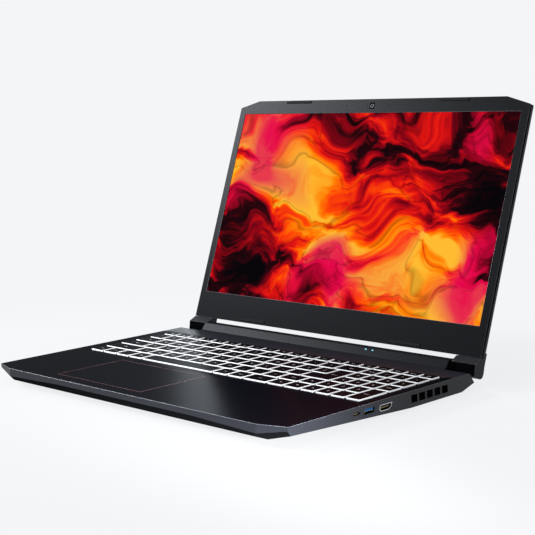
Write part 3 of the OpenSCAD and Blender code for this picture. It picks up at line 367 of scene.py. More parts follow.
# %% Screen material
panel_low, panel_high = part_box("lcd_panel")
hinge = next(joint for joint in frame["joints"] if joint["name"] == "lid_hinge")
hinge_point = Vector(hinge["pos_m"])


def lid_normal():
    """The direction in which the display faces, from the panel's largest face."""
    mesh = nodes["lcd_panel"].data
    best = max((p for p in mesh.polygons if p.normal.y < -0.5), key=lambda p: p.area)
    return best.normal.copy()


facing = lid_normal()
lean = math.atan2(-facing.y, facing.z)
up_lid = Vector((0, math.cos(lean), math.sin(lean)))
print("the lid leans at", round(math.degrees(lean), 2), "degrees to the deck")


def on_lid(x, up, out):
    """A point in the lid's frame: across, up from the hinge axis and out towards the user."""
    return Vector((x, hinge_point.y, hinge_point.z)) + up_lid * up + facing * out


def pushed(tree, place, amount, scale):
    """Coordinates pushed about by a noise, as when one paint drags another along."""
    noise = add(tree, "ShaderNodeTexNoise", Vector=place, Scale=scale, Detail=2.0, Roughness=0.5)
    push = add(tree, "ShaderNodeVectorMath", _operation="SUBTRACT", in0=noise.outputs["Color"],
               in1=(0.5, 0.5, 0.5))
    return add(tree, "ShaderNodeVectorMath", _operation="MULTIPLY_ADD", in0=push.outputs[0],
               in1=(amount, amount, 0), in2=place).outputs[0]


SLANT = 0.5
SWEEP_REACH = 0.105
VEIN_WIDTH = 0.022


def make_screen_material():
    """Folds of colour on a bright slanting sweep, with thin dark veins."""
    material, tree, shader = surface("screen")
    middle = (panel_low + panel_high) / 2
    middle_up = middle.y * math.cos(lean) + middle.z * math.sin(lean)
    place = add(tree, "ShaderNodeTexCoord").outputs["Object"]
    upright = add(tree, "ShaderNodeMapping", Vector=place, Rotation=(-lean, 0, 0),
                  Location=(0, -middle_up, 0)).outputs[0]
    flat = add(tree, "ShaderNodeVectorMath", _operation="MULTIPLY", in0=upright, in1=(1, 1, 0)).outputs[0]
    swirl = pushed(tree, flat, 0.16, 7.0)
    eddies = pushed(tree, swirl, 0.045, 26.0)
    slanted = add(tree, "ShaderNodeMapping", Vector=eddies, Rotation=(0, 0, SLANT),
                  Scale=(0.36, 1, 1)).outputs[0]
    folds = add(tree, "ShaderNodeTexNoise", Vector=slanted, Scale=30.0, Detail=9.0, Roughness=0.56,
                Distortion=0.5)
    sweep_place = add(tree, "ShaderNodeMapping", Vector=swirl, Rotation=(0, 0, SLANT)).outputs[0]
    across = add(tree, "ShaderNodeSeparateXYZ", Vector=sweep_place).outputs["Y"]
    off = math_node(tree, "ABSOLUTE", math_node(tree, "ADD", across, 0.012))
    sweep = add(tree, "ShaderNodeMapRange", _interpolation_type="SMOOTHSTEP", Value=off, From_Min=0.0,
                From_Max=SWEEP_REACH, To_Min=0.78, To_Max=0.28)
    stirred = math_node(tree, "MULTIPLY_ADD", folds.outputs["Fac"], 2.5, -1.27)
    heat = math_node(tree, "ADD", sweep.outputs[0], stirred)
    warm = ramp(tree, heat, [
        (0.0, (0.001, 0.0, 0.001)), (0.2, (0.02, 0.0, 0.002)), (0.34, (0.28, 0.0, 0.006)),
        (0.5, (0.78, 0.006, 0.004)), (0.64, (1.0, 0.06, 0.0)), (0.78, (1.0, 0.24, 0.0)),
        (0.95, (1.0, 0.5, 0.03))])
    veins = add(tree, "ShaderNodeTexNoise", Vector=slanted, Scale=31.0, Detail=3.0, Roughness=0.4)
    vein = math_node(tree, "ABSOLUTE", math_node(tree, "SUBTRACT", veins.outputs["Fac"], 0.5))
    dark = add(tree, "ShaderNodeMapRange", Value=vein, From_Min=0.0, From_Max=VEIN_WIDTH, To_Min=0.6,
               To_Max=1.0)
    rose = add(tree, "ShaderNodeTexNoise", Vector=swirl, Scale=8.0, Detail=1.0)
    rosy = add(tree, "ShaderNodeMapRange", Value=rose.outputs["Fac"], From_Min=0.55, From_Max=0.66,
               To_Max=0.92)
    glow = add(tree, "ShaderNodeMapRange", Value=heat, From_Min=0.2, From_Max=0.5)
    rosy_glow = math_node(tree, "MULTIPLY", rosy.outputs[0], glow.outputs[0])
    picture = add(tree, "ShaderNodeMix", _data_type="RGBA", _blend_type="MIX", in0=rosy_glow,
                  in6=warm.outputs["Color"], in7=(0.78, 0.0, 0.075, 1))
    veined = add(tree, "ShaderNodeVectorMath", _operation="SCALE", in0=picture.outputs[2],
                 Scale=dark.outputs[0])
    tree.links.new(veined.outputs[0], shader.inputs["Emission Color"])
    set_shader(shader, Base_Color=(0.002, 0.002, 0.002, 1), Emission_Strength=1.0, Roughness=0.5,
               Specular_IOR_Level=0.0)
    return material


looks["screen"] = make_screen_material()

# %% [markdown]
# ## The nodes that stay as they are
#
# The CAD model names a material slot for each of its nodes. Every node first gets the finish of its slot.
# Those whose shape is already right, such as the boards, fans and heat pipes, need no more than that.

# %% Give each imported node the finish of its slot
slot_of = {part["node"]: part["material_slot"] for part in frame["record"]["subparts"]}


def paint(piece, material):
    """Makes this the piece's only material."""
    piece.data.materials.clear()
    piece.data.materials.append(material)


for name, node in nodes.items():
    paint(node, looks[slot_of[name]])
print("painted", len(nodes), "nodes")

# %% [markdown]
# ## Softened shells
#
# No moulded part has a knife edge. A radius of a few tenths of a millimetre catches the light and draws the
# bright outline that tells the eye where a shell ends. Bevelling by angle alone would also round the many
# edges inside a wall with holes. So each visible shell is a welded copy of its CAD node whose chosen edges
# get a weight, and a Bevel modifier rounds only those. On the deck's rim, the bezel and the lid's cover the
# rounded edges also get a lighter material, a painted highlight. Some shells have zones, which are faces with
# a material of their own: the fronts of the lid's ears are black, painted shade, the slopes of the belly are
# painted darker as shade, and the strip behind the keys has a glossier coat over a lighter base, partly a
# painted reflection.

# %% Forms, meshes and pieces
WELD = 0.000002


def welded_form(node):
    """A CAD node's mesh as an editable form, with its seams merged."""
    form = bmesh.new()
    form.from_mesh(nodes[node].data)
    bmesh.ops.remove_doubles(form, verts=form.verts, dist=WELD)
    return form


def mesh_from(form, name):
    """A new mesh from a form, which is then done with."""
    mesh = bpy.data.meshes.new(name)
    form.to_mesh(mesh)
    form.free()
    return mesh


def link(name, mesh):
    """A piece of the scene with this mesh."""
    piece = bpy.data.objects.new(name, mesh)
    scene.collection.objects.link(piece)
    return piece


def evaluated_mesh(piece):
    """A plain mesh of the object as its modifiers leave it."""
    graph = bpy.context.evaluated_depsgraph_get()
    return bpy.data.meshes.new_from_object(piece.evaluated_get(graph))


# %% Soften a shell
ROUNDED_FROM = math.radians(12)
SMOOTH_UP_TO = math.radians(20)
UPWARD = 0.9
FAVOUR_LARGE_FACES = 100


def cut_upper_faces(form, y):
    """Cuts the faces that look up in two at this y."""
    flat = [face for face in form.faces if face.normal.z > UPWARD]
    edges = {edge for face in flat for edge in face.edges}
    verts = {vert for face in flat for vert in face.verts}
    bmesh.ops.bisect_plane(form, geom=flat + list(edges | verts), plane_co=(0, y, 0), plane_no=(0, 1, 0))


def weigh_edges(form, chosen):
    """Gives the sharp edges that pass the test a bevel weight, and counts them."""
    weights = form.edges.layers.float.new("bevel_weight_edge")
    count = 0
    for edge in form.edges:
        if len(edge.link_faces) != 2 or edge.calc_face_angle(0) < ROUNDED_FROM:
            continue
        middle = (edge.verts[0].co + edge.verts[1].co) / 2
        if chosen is None or chosen(middle, edge):
            edge[weights] = 1.0
            count += 1
    return count


def soften(name, node, width, body, chosen=None, edge_finish=None, zones=(), parting=None):
    """Replaces a node by a copy whose sharp edges are rounded.

    chosen is a test of an edge's middle and the edge, and picks the edges to round. The edge material, where
    given, is a lighter material for the rounded edges: a painted highlight. Each zone is a material and a test
    of a face's normal and middle. parting is the y at which the upper faces are cut in two, so that a zone can
    end there.
    """
    form = welded_form(node)
    if parting is not None:
        cut_upper_faces(form, parting)
    count = weigh_edges(form, chosen)
    mesh = mesh_from(form, name)
    piece = link(name, mesh)
    for polygon in mesh.polygons:
        polygon.use_smooth = True
    mesh.set_sharp_from_angle(angle=SMOOTH_UP_TO)
    bevel = piece.modifiers.new("soft edges", "BEVEL")
    bevel.width = width
    bevel.segments = 2
    bevel.limit_method = "WEIGHT"
    bevel.use_clamp_overlap = True
    bevel.miter_outer = "MITER_ARC"
    even = piece.modifiers.new("flat walls", "WEIGHTED_NORMAL")
    even.keep_sharp = True
    even.weight = FAVOUR_LARGE_FACES
    paint(piece, looks[slot_of[node]])
    for finish, fits in zones:
        mesh.materials.append(finish)
    for polygon in mesh.polygons:
        fitting = [i for i, (finish, fits) in enumerate(zones) if fits(polygon.normal, polygon.center)]
        polygon.material_index = fitting[0] + 1 if fitting else 0
    if edge_finish:
        mesh.materials.append(edge_finish)
        bevel.material = len(zones) + 1
    rounded = evaluated_mesh(piece)
    piece.modifiers.clear()
    piece.data = rounded
    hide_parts(node)
    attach(piece, body)
    print(name, "softened edges:", count, "faces:", len(rounded.polygons))


# %% Shells of the lid, and small shells
LONG_EDGE = 8 * MM
deck_low, deck_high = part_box("palmrest_deck")
DECK_TOP = deck_high.z
shells = {
    "lid_cover_shell": ("lid_back_cover", 0.35 * MM, "lid"),
    "lid_bezel_frame": ("lid_bezel", 0.28 * MM, "lid"),
    "hinge_bar_shell": ("hinge_bar_cover", 0.4 * MM, "base"),
    "desk_feet": ("rubber_feet", 0.4 * MM, "base"),
    "bezel_bumpers": ("lid_bumpers", 0.2 * MM, "lid"),
    "touchpad_sheet": ("touchpad", 0.2 * MM, "touchpad_plate"),
}
# The lighter materials of the rounded edges are painted highlights.
painted_edge_highlights = {"lid_bezel": edge_sheen, "lid_back_cover": cover_edge}


def long_edge(middle, edge):
    """Every edge but the short ones, so that the camera's opening stays crisp."""
    return edge.calc_length() > LONG_EDGE


def ear_front(normal, middle):
    """Faces that look straight forward: on the lid's cover these are the fronts of its ears, painted black as
    shade.
    """
    return normal.y < -0.95 and normal.z < 0.25


shell_edges = {"lid_bezel": long_edge}
# The fronts of the ears get a black material, painted shade.
shell_zones = {"lid_back_cover": [(socket_black, ear_front)]}
for name, (node, width, body) in shells.items():
    soften(name, node, width, body, chosen=shell_edges.get(node), edge_finish=painted_edge_highlights.get(node),
           zones=shell_zones.get(node, ()))

# %% Shell of the base
SOCKET_BAND = (6 * MM, 13.5 * MM)
SOCKETS_FRONT = deck_low.y + 30 * MM
BELLY_TOP = 3.5 * MM
WALL_INNER = 177.5 * MM
FRONT_INNER = deck_low.y + 17 * MM
VENTS_FRONT = -deck_low.y - 60 * MM


def outer_edge(middle, edge):
    """Long edges of the base's outer skin, away from the sockets and the rear vents."""
    heights = [vert.co.z for vert in edge.verts]
    in_band = min(heights) > SOCKET_BAND[0] and max(heights) < SOCKET_BAND[1]
    beside_sockets = in_band and middle.y > SOCKETS_FRONT
    outside = middle.z < BELLY_TOP or abs(middle.x) > WALL_INNER or middle.y < FRONT_INNER
    return outside and not beside_sockets and middle.y < VENTS_FRONT and edge.calc_length() > LONG_EDGE


def tray_slopes(normal, middle):
    """The slanting belly and the front wall below its seam, but not the flat underside: painted darker as shade.
    """
    belly = -0.97 < normal.z < -0.45
    front = normal.y < -0.85 and normal.z < -0.3
    return belly or front


# The belly's slopes get a darker material, painted shade.
soften("base_tray", "bottom_cover", 0.3 * MM, "base", chosen=outer_edge, zones=[(shell_under, tray_slopes)])

# %% Shell of the deck
RIM_DEPTH = 0.2 * MM
RIM_FRONT = deck_low.y + 9 * MM
RIM_SIDE = 180.5 * MM
KEYS_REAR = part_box("function_row_keys")[1].y + 1.5 * MM


def deck_edge(middle, edge):
    """Edges around the deck's upper face, along its front and sides but not around the keys."""
    near_rim = middle.y < RIM_FRONT or abs(middle.x) > RIM_SIDE
    return middle.z > DECK_TOP - RIM_DEPTH and near_rim


def deck_wall(normal, middle):
    """Every face that doesn't look up."""
    return normal.z < 0.5


def behind_keys(normal, middle):
    """The strip between the keys and the hinge: a glossier coat, and a lighter base as a painted reflection."""
    return middle.y > KEYS_REAR


# The deck's rim edges get a lighter material, a painted highlight.
soften("palm_rest", "palmrest_deck", 0.35 * MM, "base", chosen=deck_edge, edge_finish=rim_light,
       parting=KEYS_REAR, zones=[(looks["shell_grey"], deck_wall), (deck_rear, behind_keys)])

# %% [markdown]
# ## Solids and joins
#
# Many nodes hold several solids of one kind: the keys of a row, the screws, the feet. Blender could
# separate them into loose parts, but only their boxes are needed here. A walk along the edges finds them.
# The reverse step joins many small meshes into one piece, so that a row of caps or legends moves and
# exports together.

# %% Helpers for separate solids and joined meshes


def solids_of(node):
    """Low and high corners of each separate solid in a node, rear row first and left to right."""
    form = welded_form(node)
    left = set(form.verts)
    boxes = []
    while left:
        queue = [left.pop()]
        island = []
        while queue:
            vert = queue.pop()
            island.append(vert.co)
            for edge in vert.link_edges:
                other = edge.other_vert(vert)
                if other in left:
                    left.remove(other)
                    queue.append(other)
        low = Vector([min(co[i] for co in island) for i in range(3)])
        high = Vector([max(co[i] for co in island) for i in range(3)])
        boxes.append((low, high))
    form.free()
    boxes.sort(key=lambda b: (-round(b[0].y / MM), b[0].x))
    return boxes


def join_meshes(name, meshes):
    """One mesh from (mesh, transform) pairs, with their materials."""
    form = bmesh.new()
    materials = []
    for mesh, matrix in meshes:
        start = len(form.faces)
        form.from_mesh(mesh)
        form.verts.ensure_lookup_table()
        form.faces.ensure_lookup_table()
        slots = []
        for material in mesh.materials:
            if material not in materials:
                materials.append(material)
            slots.append(materials.index(material))
        fresh = form.faces[start:]
        for face in fresh:
            if slots:
                face.material_index = slots[min(face.material_index, len(slots) - 1)]
        verts = {vert for face in fresh for vert in face.verts}
        bmesh.ops.transform(form, matrix=matrix, verts=list(verts))
    joined = mesh_from(form, name)
    for material in materials:
        joined.materials.append(material)
    return joined


print("solids of the feet:", len(solids_of("rubber_feet")))

# %% [markdown]
# ## Sockets
#
# A socket is a thin folded metal mouth around a cavity, with a plastic tongue that carries the contacts.
# Cutting the cavity with Boolean modifiers would leave untidy faces. So every socket is lofted through loops
# of one outline: the wall's cut, the mouth, the cavity and its end. The mouth sits in a rectangular cut in
# the shell, and the first faces, between the cut and the mouth, close the rest of it, flush with the slanting
# wall. The wall's place is found by casting rays at the CAD shell just above and below the cut. The cavity is
# black, painted shade, and the mouths of the USB sockets are a dark metal, also painted shade.

# %% Socket outlines
RAY_START = 0.3
wall_tree = BVHTree.FromPolygons([vert.co for vert in nodes["bottom_cover"].data.vertices],
                                 [tuple(face.vertices) for face in nodes["bottom_cover"].data.polygons])


def wall_at(side, y, z):
    """How far out the base's side wall lies at this height."""
    hit = wall_tree.ray_cast(Vector((side * RAY_START, y, z)), Vector((-side, 0, 0)))[0]
    return abs(hit.x)


def rounded_outline(width, height, radius, steps):
    """Points around a rounded rectangle, counter-clockwise."""
    points = []
    for turn, (cy, cz) in enumerate([(1, 1), (-1, 1), (-1, -1), (1, -1)]):
        for step in range(steps + 1):
            angle = math.radians(90 * turn + 90 * step / steps)
            points.append((cy * (width / 2 - radius) + radius * math.cos(angle),
                           cz * (height / 2 - radius) + radius * math.sin(angle)))
    return points


def video_outline(width, height):
    """A rectangle whose lower corners are cut off in two slants, as on a video socket."""
    w, h = width / 2, height / 2
    steep, shallow = w - 0.9 * MM, w - 2.4 * MM
    right = [(shallow, -h), (steep, -0.45 * h), (w, -0.25 * h), (w, 0.0)]
    left = [(-y, z) for y, z in reversed(right)]
    return [(w, h), (0, h), (-w, h)] + left + [(0, -h)] + right


TINY = 1e-9


def cut_outline(points, width, height):
    """The rectangular cut, with one point for each point of the outline inside it."""
    outer = []
    for y, z in points:
        reach = min(width / 2 / max(abs(y), TINY), height / 2 / max(abs(z), TINY))
        outer.append((y * reach, z * reach))
    for cy in (1, -1):
        for cz in (1, -1):
            corner = Vector((cy * width / 2, cz * height / 2))
            nearest = min(range(len(outer)), key=lambda i: (Vector(outer[i]) - corner).length)
            outer[nearest] = tuple(corner)
    return outer


print("the right wall lies at", round(wall_at(1, -0.08, 0.0142), 5), "near its seam")

# %% Loft the sockets


def add_box(form, low, high, index):
    """A closed box in a form, with its faces in one material slot."""
    made = bmesh.ops.create_cube(form, size=1.0)["verts"]
    scale = Matrix.Diagonal((*(high - low), 1.0))
    bmesh.ops.transform(form, matrix=Matrix.Translation((low + high) / 2) @ scale, verts=made)
    for face in {face for vert in made for face in vert.link_faces}:
        face.material_index = index


WALL_GAP = 0.4 * MM
FLUSH = 0.1 * MM
SEAM_DEPTH = 0.25 * MM
MOUTH_DEPTH = 1.5 * MM
CAVITY_DEPTH = 10 * MM
TONGUE_BACK = 1.3 * MM
TONGUE_LENGTH = 8 * MM
CONTACT_PROUD = 0.12 * MM
CONTACT_LONGER = 0.02 * MM
SURROUND, MOUTH, CAVITY, TONGUE, CONTACT = range(5)


def loft_walls(form, side, middle, size, mouth, skin):
    """The surround, the mouth and the cavity. Returns how far out the wall lies at the socket's middle."""
    y0, z0 = middle
    width, height = size
    top = wall_at(side, y0, z0 + height / 2 + WALL_GAP)
    bottom = wall_at(side, y0, z0 - height / 2 - WALL_GAP)
    slope = (top - bottom) / (height + 2 * WALL_GAP)

    def loop(points, back):
        """Outline points set back from the sloping wall."""
        return [form.verts.new((side * ((top + bottom) / 2 + slope * z - back), y0 + y, z0 + z))
                for y, z in points]

    narrower, lower = 1 - 2 * skin / width, 1 - 2 * skin / height
    inner = [(y * narrower, z * lower) for y, z in mouth]
    loops = [loop(cut_outline(mouth, width, height), FLUSH), loop(mouth, SEAM_DEPTH), loop(mouth, FLUSH),
             loop(inner, FLUSH), loop(inner, MOUTH_DEPTH), loop(inner, CAVITY_DEPTH)]
    for first, second, slot in zip(loops, loops[1:], (SURROUND, MOUTH, MOUTH, MOUTH, CAVITY)):
        for i in range(len(first)):
            j = (i + 1) % len(first)
            face = form.faces.new((first[i], first[j], second[j], second[i]))
            face.material_index = slot
    form.faces.new(loops[-1]).material_index = CAVITY
    return (top + bottom) / 2


def loft_socket(form, side, middle, size, mouth, tongue, skin=0.5 * MM, contacts=4):
    """One socket. size is that of the cut, tongue its width, thickness and height above the middle."""
    y0, z0 = middle
    wide, thick, up = tongue
    front = loft_walls(form, side, middle, size, mouth, skin) - TONGUE_BACK
    x0, x1 = sorted((side * front, side * (front - TONGUE_LENGTH)))
    lower, upper = z0 + up - thick / 2, z0 + up + thick / 2
    add_box(form, Vector((x0, y0 - wide / 2, lower)), Vector((x1, y0 + wide / 2, upper)), TONGUE)
    half = wide / contacts / 4
    for n in range(contacts):
        y = y0 + wide * ((n + 0.5) / contacts - 0.5)
        add_box(form, Vector((x0 - CONTACT_LONGER, y - half, lower - CONTACT_PROUD)),
                Vector((x1 + CONTACT_LONGER, y + half, lower + CONTACT_PROUD)), CONTACT)


def finish_socket(name, node, sockets, tongue_finish, mouth_finish):
    """One piece with all the sockets that stand for a node."""
    form = bmesh.new()
    for values in sockets:
        part = bmesh.new()
        loft_socket(part, *values)
        bmesh.ops.recalc_face_normals(part, faces=part.faces)
        mesh = mesh_from(part, "part")
        form.from_mesh(mesh)
        bpy.data.meshes.remove(mesh)
    mesh = mesh_from(form, name)
    piece = link(name, mesh)
    # The cavity's black is painted shade.
    for finish in (looks["shell_grey"], mouth_finish, socket_black, tongue_finish, contact_gold):
        mesh.materials.append(finish)
    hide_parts(node)
    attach(piece, "base")
    print(name, "faces:", len(mesh.polygons))


def socket_middle(low, high, height):
    """Middle of a socket's mouth: its CAD solid also has a foot below."""
    return (low.y + high.y) / 2, high.z - height / 2 + CUT_ABOVE


# %% Place the sockets
CUT_ABOVE = 0.2 * MM
LEFT, RIGHT = -1, 1
USB_A_CUT = (14.2 * MM, 6.4 * MM)
USB_C_CUT = (9.6 * MM, 3.8 * MM)
VIDEO_CUT = (15.6 * MM, 6.6 * MM)
usb_a_mouth = rounded_outline(13.4 * MM, 5.7 * MM, 0.4 * MM, 2)
usb_c_mouth = rounded_outline(8.9 * MM, 3.2 * MM, 1.55 * MM, 6)
video_mouth = video_outline(14.9 * MM, 5.8 * MM)
usb_a_tongue = (11.0 * MM, 2.3 * MM, 0.95 * MM)
usb_c_tongue = (6.2 * MM, 0.7 * MM, 0)
video_tongue = (11.0 * MM, 1.3 * MM, 0.5 * MM)
usb_c_skin, usb_c_contacts = 0.35 * MM, 8
video_skin, video_contacts = 0.55 * MM, 9

# The USB sockets take the dark mouth metal, painted shade; the video socket keeps the plain port metal.
finish_socket("usb_a_socket_right", "usb_a_port_right",
              [(RIGHT, socket_middle(*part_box("usb_a_port_right"), USB_A_CUT[1]), USB_A_CUT, usb_a_mouth,
                usb_a_tongue)], tongue_blue, mouth_dark)
finish_socket("usb_a_sockets_left", "usb_a_ports_left",
              [(LEFT, socket_middle(low, high, USB_A_CUT[1]), USB_A_CUT, usb_a_mouth, usb_a_tongue)
               for low, high in solids_of("usb_a_ports_left")], tongue_blue, mouth_dark)
finish_socket("usb_c_socket", "usb_c_port",
              [(RIGHT, socket_middle(*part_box("usb_c_port"), USB_C_CUT[1]), USB_C_CUT, usb_c_mouth,
                usb_c_tongue, usb_c_skin, usb_c_contacts)], looks["port_plastic"], mouth_dark)
finish_socket("video_socket", "hdmi_port",
              [(RIGHT, socket_middle(*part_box("hdmi_port"), VIDEO_CUT[1]), VIDEO_CUT, video_mouth,
                video_tongue, video_skin, video_contacts)], looks["port_plastic"], looks["port_metal"])

# %% [markdown]
# ## Trims and small marks
#
# A red anodised line runs round the touchpad's opening. Above the display there are the camera's lens in
# its window, a pinhole for each microphone and one for the camera's light. They could be drawn in the
# materials of the deck and the bezel, but then the meshes would lack them. All are thin solids: a frame
# round the opening, and rings and discs laid on the bezel.

# %% Touchpad trim
TRIM_INNER = 0.3 * MM
TRIM_OUTER = 0.75 * MM
TRIM_DEPTH = 0.6 * MM
TRIM_PROUD = 0.04 * MM


def frame_mesh(name, inner, outer, low, high):
    """A rectangular frame between two rectangles (x0, y0, x1, y1), from one height to another."""
    form = bmesh.new()
    corners = []
    for x0, y0, x1, y1 in (inner, outer):
        for z in (low, high):
            corners.append([form.verts.new((x, y, z)) for x, y in ((x0, y0), (x1, y0), (x1, y1), (x0, y1))])
    inner_low, inner_high, outer_low, outer_high = corners
    for first, second in ((inner_low, inner_high), (inner_high, outer_high), (outer_high, outer_low),
                          (outer_low, inner_low)):
        for i in range(4):
            form.faces.new((first[i], first[(i + 1) % 4], second[(i + 1) % 4], second[i]))
    bmesh.ops.recalc_face_normals(form, faces=form.faces)
    return mesh_from(form, name)


def grown_box(low, high, by):
    """The rectangle of a box seen from above, grown on every side."""
    return (low.x - by, low.y - by, high.x + by, high.y + by)


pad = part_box("touchpad")
trim = link("touchpad_trim", frame_mesh("touchpad_trim", grown_box(*pad, TRIM_INNER),
                                        grown_box(*pad, TRIM_OUTER), DECK_TOP - TRIM_DEPTH,
                                        DECK_TOP + TRIM_PROUD))
paint(trim, trim_red)
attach(trim, "base")
print("touchpad trim faces:", len(trim.data.polygons))

# %% Rings and discs on the lid
MARK_SUNK = 0.02 * MM
MARK_THICK = 0.06 * MM
RING_STEPS = 24


def disc_mesh(inner, outer):
    """A flat ring about its own axis, or a disc where inner is 0, with a wall around it."""
    form = bmesh.new()
    turns = [2 * math.pi * n / RING_STEPS for n in range(RING_STEPS)]

    def circle(radius, z):
        return [form.verts.new((radius * math.cos(turn), radius * math.sin(turn), z)) for turn in turns]

    def band(first, second):
        for i in range(RING_STEPS):
            j = (i + 1) % RING_STEPS
            form.faces.new((first[i], first[j], second[j], second[i]))

    top = circle(outer, MARK_THICK)
    band(circle(outer, 0), top)
    if inner:
        hole = circle(inner, MARK_THICK)
        band(top, hole)
        band(hole, circle(inner, 0))
    else:
        form.faces.new(top)
    return mesh_from(form, "disc")


def lid_matrix(x, up, out):
    """Sets a mesh that faces its own Z upright on the lid."""
    place = on_lid(x, up, out)
    return Matrix.Translation(place) @ Matrix((Vector((1, 0, 0)), up_lid, facing)).transposed().to_4x4()


def lid_mark(name, material, marks):
    """Rings or discs on the lid: each is (x, height above the hinge, out, inner radius, outer radius)."""
    made = [(disc_mesh(inner, outer), lid_matrix(x, up, out)) for x, up, out, inner, outer in marks]
    piece = link(name, join_meshes(name, made))
    paint(piece, material)
    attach(piece, "lid")


def lid_place(node):
    """Middle of a flat node on the lid: across, up from the hinge, and its front face's distance out."""
    verts = [vert.co for vert in nodes[node].data.vertices]
    ups = [(co - hinge_point).dot(up_lid) for co in verts]
    outs = [(co - hinge_point).dot(facing) for co in verts]
    xs = [co.x for co in verts]
    return (min(xs) + max(xs)) / 2, (min(ups) + max(ups)) / 2, max(outs)


# %% Lens and pinholes
LENS_RADIUS = 1.2 * MM
RING_INNER, RING_OUTER = 1.3 * MM, 1.75 * MM
left_microphone = (-32.5 * MM, 0.55 * MM)
right_microphone = (21.4 * MM, 0.55 * MM)
camera_lamp = (-6.5 * MM, 0.5 * MM)

window_x, window_up, window_front = lid_place("camera_window")
bezel_front = lid_place("lid_bezel")[2]
glass_out = window_front - MARK_SUNK
lid_mark("camera_lens", lens_glass, [(window_x, window_up, glass_out, 0, LENS_RADIUS)])
lid_mark("camera_ring", looks["chip"], [(window_x, window_up, glass_out, RING_INNER, RING_OUTER)])
# Each pinhole is a black disc on the bezel: painted shade.
lid_mark("bezel_pinholes", socket_black,
         [(window_x + beside, window_up, bezel_front - MARK_SUNK, 0, radius)
          for beside, radius in (left_microphone, right_microphone, camera_lamp)])
print("camera window at", round(window_x, 4), round(window_up, 4), "bezel front at", round(bezel_front, 5))

# %% [markdown]
# ## Key caps
#
# Each key is a black cap on a pale, light-guiding skirt. On the real keyboard they are all moulded the same
# way and nearly all are rectangles, which differ only in width and depth. Modelling one and stretching it
# would stretch its corners too. So one geometry tree makes a cap from its width and depth: a rounded
# rectangle grows into a skirt, then leans in and closes with a slightly smaller top. The enter key isn't a
# rectangle, so its cap grows from the outline of its CAD solid. The places come from the CAD keys: each
# closed solid is one key.

# %% The key cap tree
CAP_HEIGHT = 0.6 * MM
CAP_LEAN = 0.4 * MM


def make_cap_tree():
    """A cap about its own middle. Lean is how much smaller the top is, over both sides together."""
    tree, into, out = open_group(
        "Key cap",
        [("Geometry", GEOMETRY, None), ("Width", FLOAT, 17 * MM), ("Depth", FLOAT, 16.3 * MM),
         ("Corner", FLOAT, 1.6 * MM), ("Skirt", FLOAT, 0.8 * MM), ("Lean", FLOAT, 2 * CAP_LEAN),
         ("Cap", FLOAT, CAP_HEIGHT), ("Skirt material", MATERIAL, None), ("Cap material", MATERIAL, None)],
        [("Geometry", GEOMETRY)], kind="GeometryNodeTree")
    sheet = add(tree, "GeometryNodeCurvePrimitiveQuadrilateral", Width=into.outputs["Width"],
                Height=into.outputs["Depth"])
    filleted = add(tree, "GeometryNodeFilletCurve", _mode="POLY", Curve=sheet.outputs[0], Count=5,
                   Radius=into.outputs["Corner"])
    face = add(tree, "GeometryNodeFillCurve", _mode="NGONS", Curve=filleted.outputs[0])
    skirt = add(tree, "GeometryNodeExtrudeMesh", _mode="FACES", Mesh=face.outputs[0],
                Offset_Scale=into.outputs["Skirt"])
    width, depth = [
        math_node(tree, "SUBTRACT", 1.0, math_node(tree, "DIVIDE", into.outputs["Lean"], into.outputs[side]))
        for side in ("Width", "Depth")]
    shrink = add(tree, "ShaderNodeCombineXYZ", X=width, Y=depth, Z=1.0)
    cap = add(tree, "GeometryNodeExtrudeMesh", _mode="FACES", Mesh=skirt.outputs["Mesh"],
              Selection=skirt.outputs["Top"], Offset_Scale=into.outputs["Cap"])
    place = add(tree, "GeometryNodeInputPosition").outputs[0]
    smaller = add(tree, "ShaderNodeVectorMath", _operation="MULTIPLY", in0=place, in1=shrink.outputs[0])
    leaning = add(tree, "GeometryNodeSetPosition", Geometry=cap.outputs["Mesh"], Selection=cap.outputs["Top"],
                  Position=smaller.outputs[0])
    pale = add(tree, "GeometryNodeSetMaterial", Geometry=leaning.outputs[0],
               Material=into.outputs["Skirt material"])
    upper = add(tree, "GeometryNodeSetMaterial", Geometry=pale.outputs[0], Selection=cap.outputs["Top"],
                Material=into.outputs["Cap material"])
    tree.links.new(upper.outputs[0], out.inputs["Geometry"])
    return tree


def set_inputs(modifier, **values):
    """Sets a geometry modifier's inputs by their sockets' identifiers."""
    for item in modifier.node_group.interface.items_tree:
        label = item.name.replace(" ", "_")
        if item.item_type == "SOCKET" and item.in_out == "INPUT" and label in values:
            modifier[item.identifier] = values[label]


def run_tree(tree, name, start=None, **values):
    """The mesh that a geometry tree makes with these inputs, from a start mesh or from nothing."""
    holder = link(name, start or bpy.data.meshes.new(name))
    modifier = holder.modifiers.new(tree.name, "NODES")
    modifier.node_group = tree
    set_inputs(modifier, **values)
    holder.update_tag()
    mesh = evaluated_mesh(holder)
    bpy.data.objects.remove(holder)
    return mesh


cap_tree = make_cap_tree()
print("cap tree nodes:", len(cap_tree.nodes))

# %% Read the key places from the CAD
key_nodes = [name for name in nodes if slot_of[name] == "keycap"]
key_boxes = {name: solids_of(name) for name in key_nodes}
body_of_node = {n: body for body, members in frame["record"]["behaviour"]["bodies"].items() for n in members}
print("keys:", sum(len(boxes) for boxes in key_boxes.values()))

# %% Cap shapes


def cap_mesh(low, high):
    """A cap in the box of its CAD key, and its place."""
    mesh = run_tree(cap_tree, "cap", Width=high.x - low.x, Depth=high.y - low.y,
                    Skirt=high.z - low.z - CAP_HEIGHT, Skirt_material=skirt_white,
                    Cap_material=looks["keycap"])
    return mesh, Matrix.Translation(((low.x + high.x) / 2, (low.y + high.y) / 2, low.z))


OUTLINE_CORNER = 1.2 * MM
CORNER_STEPS = 4
FLAT = math.radians(1)


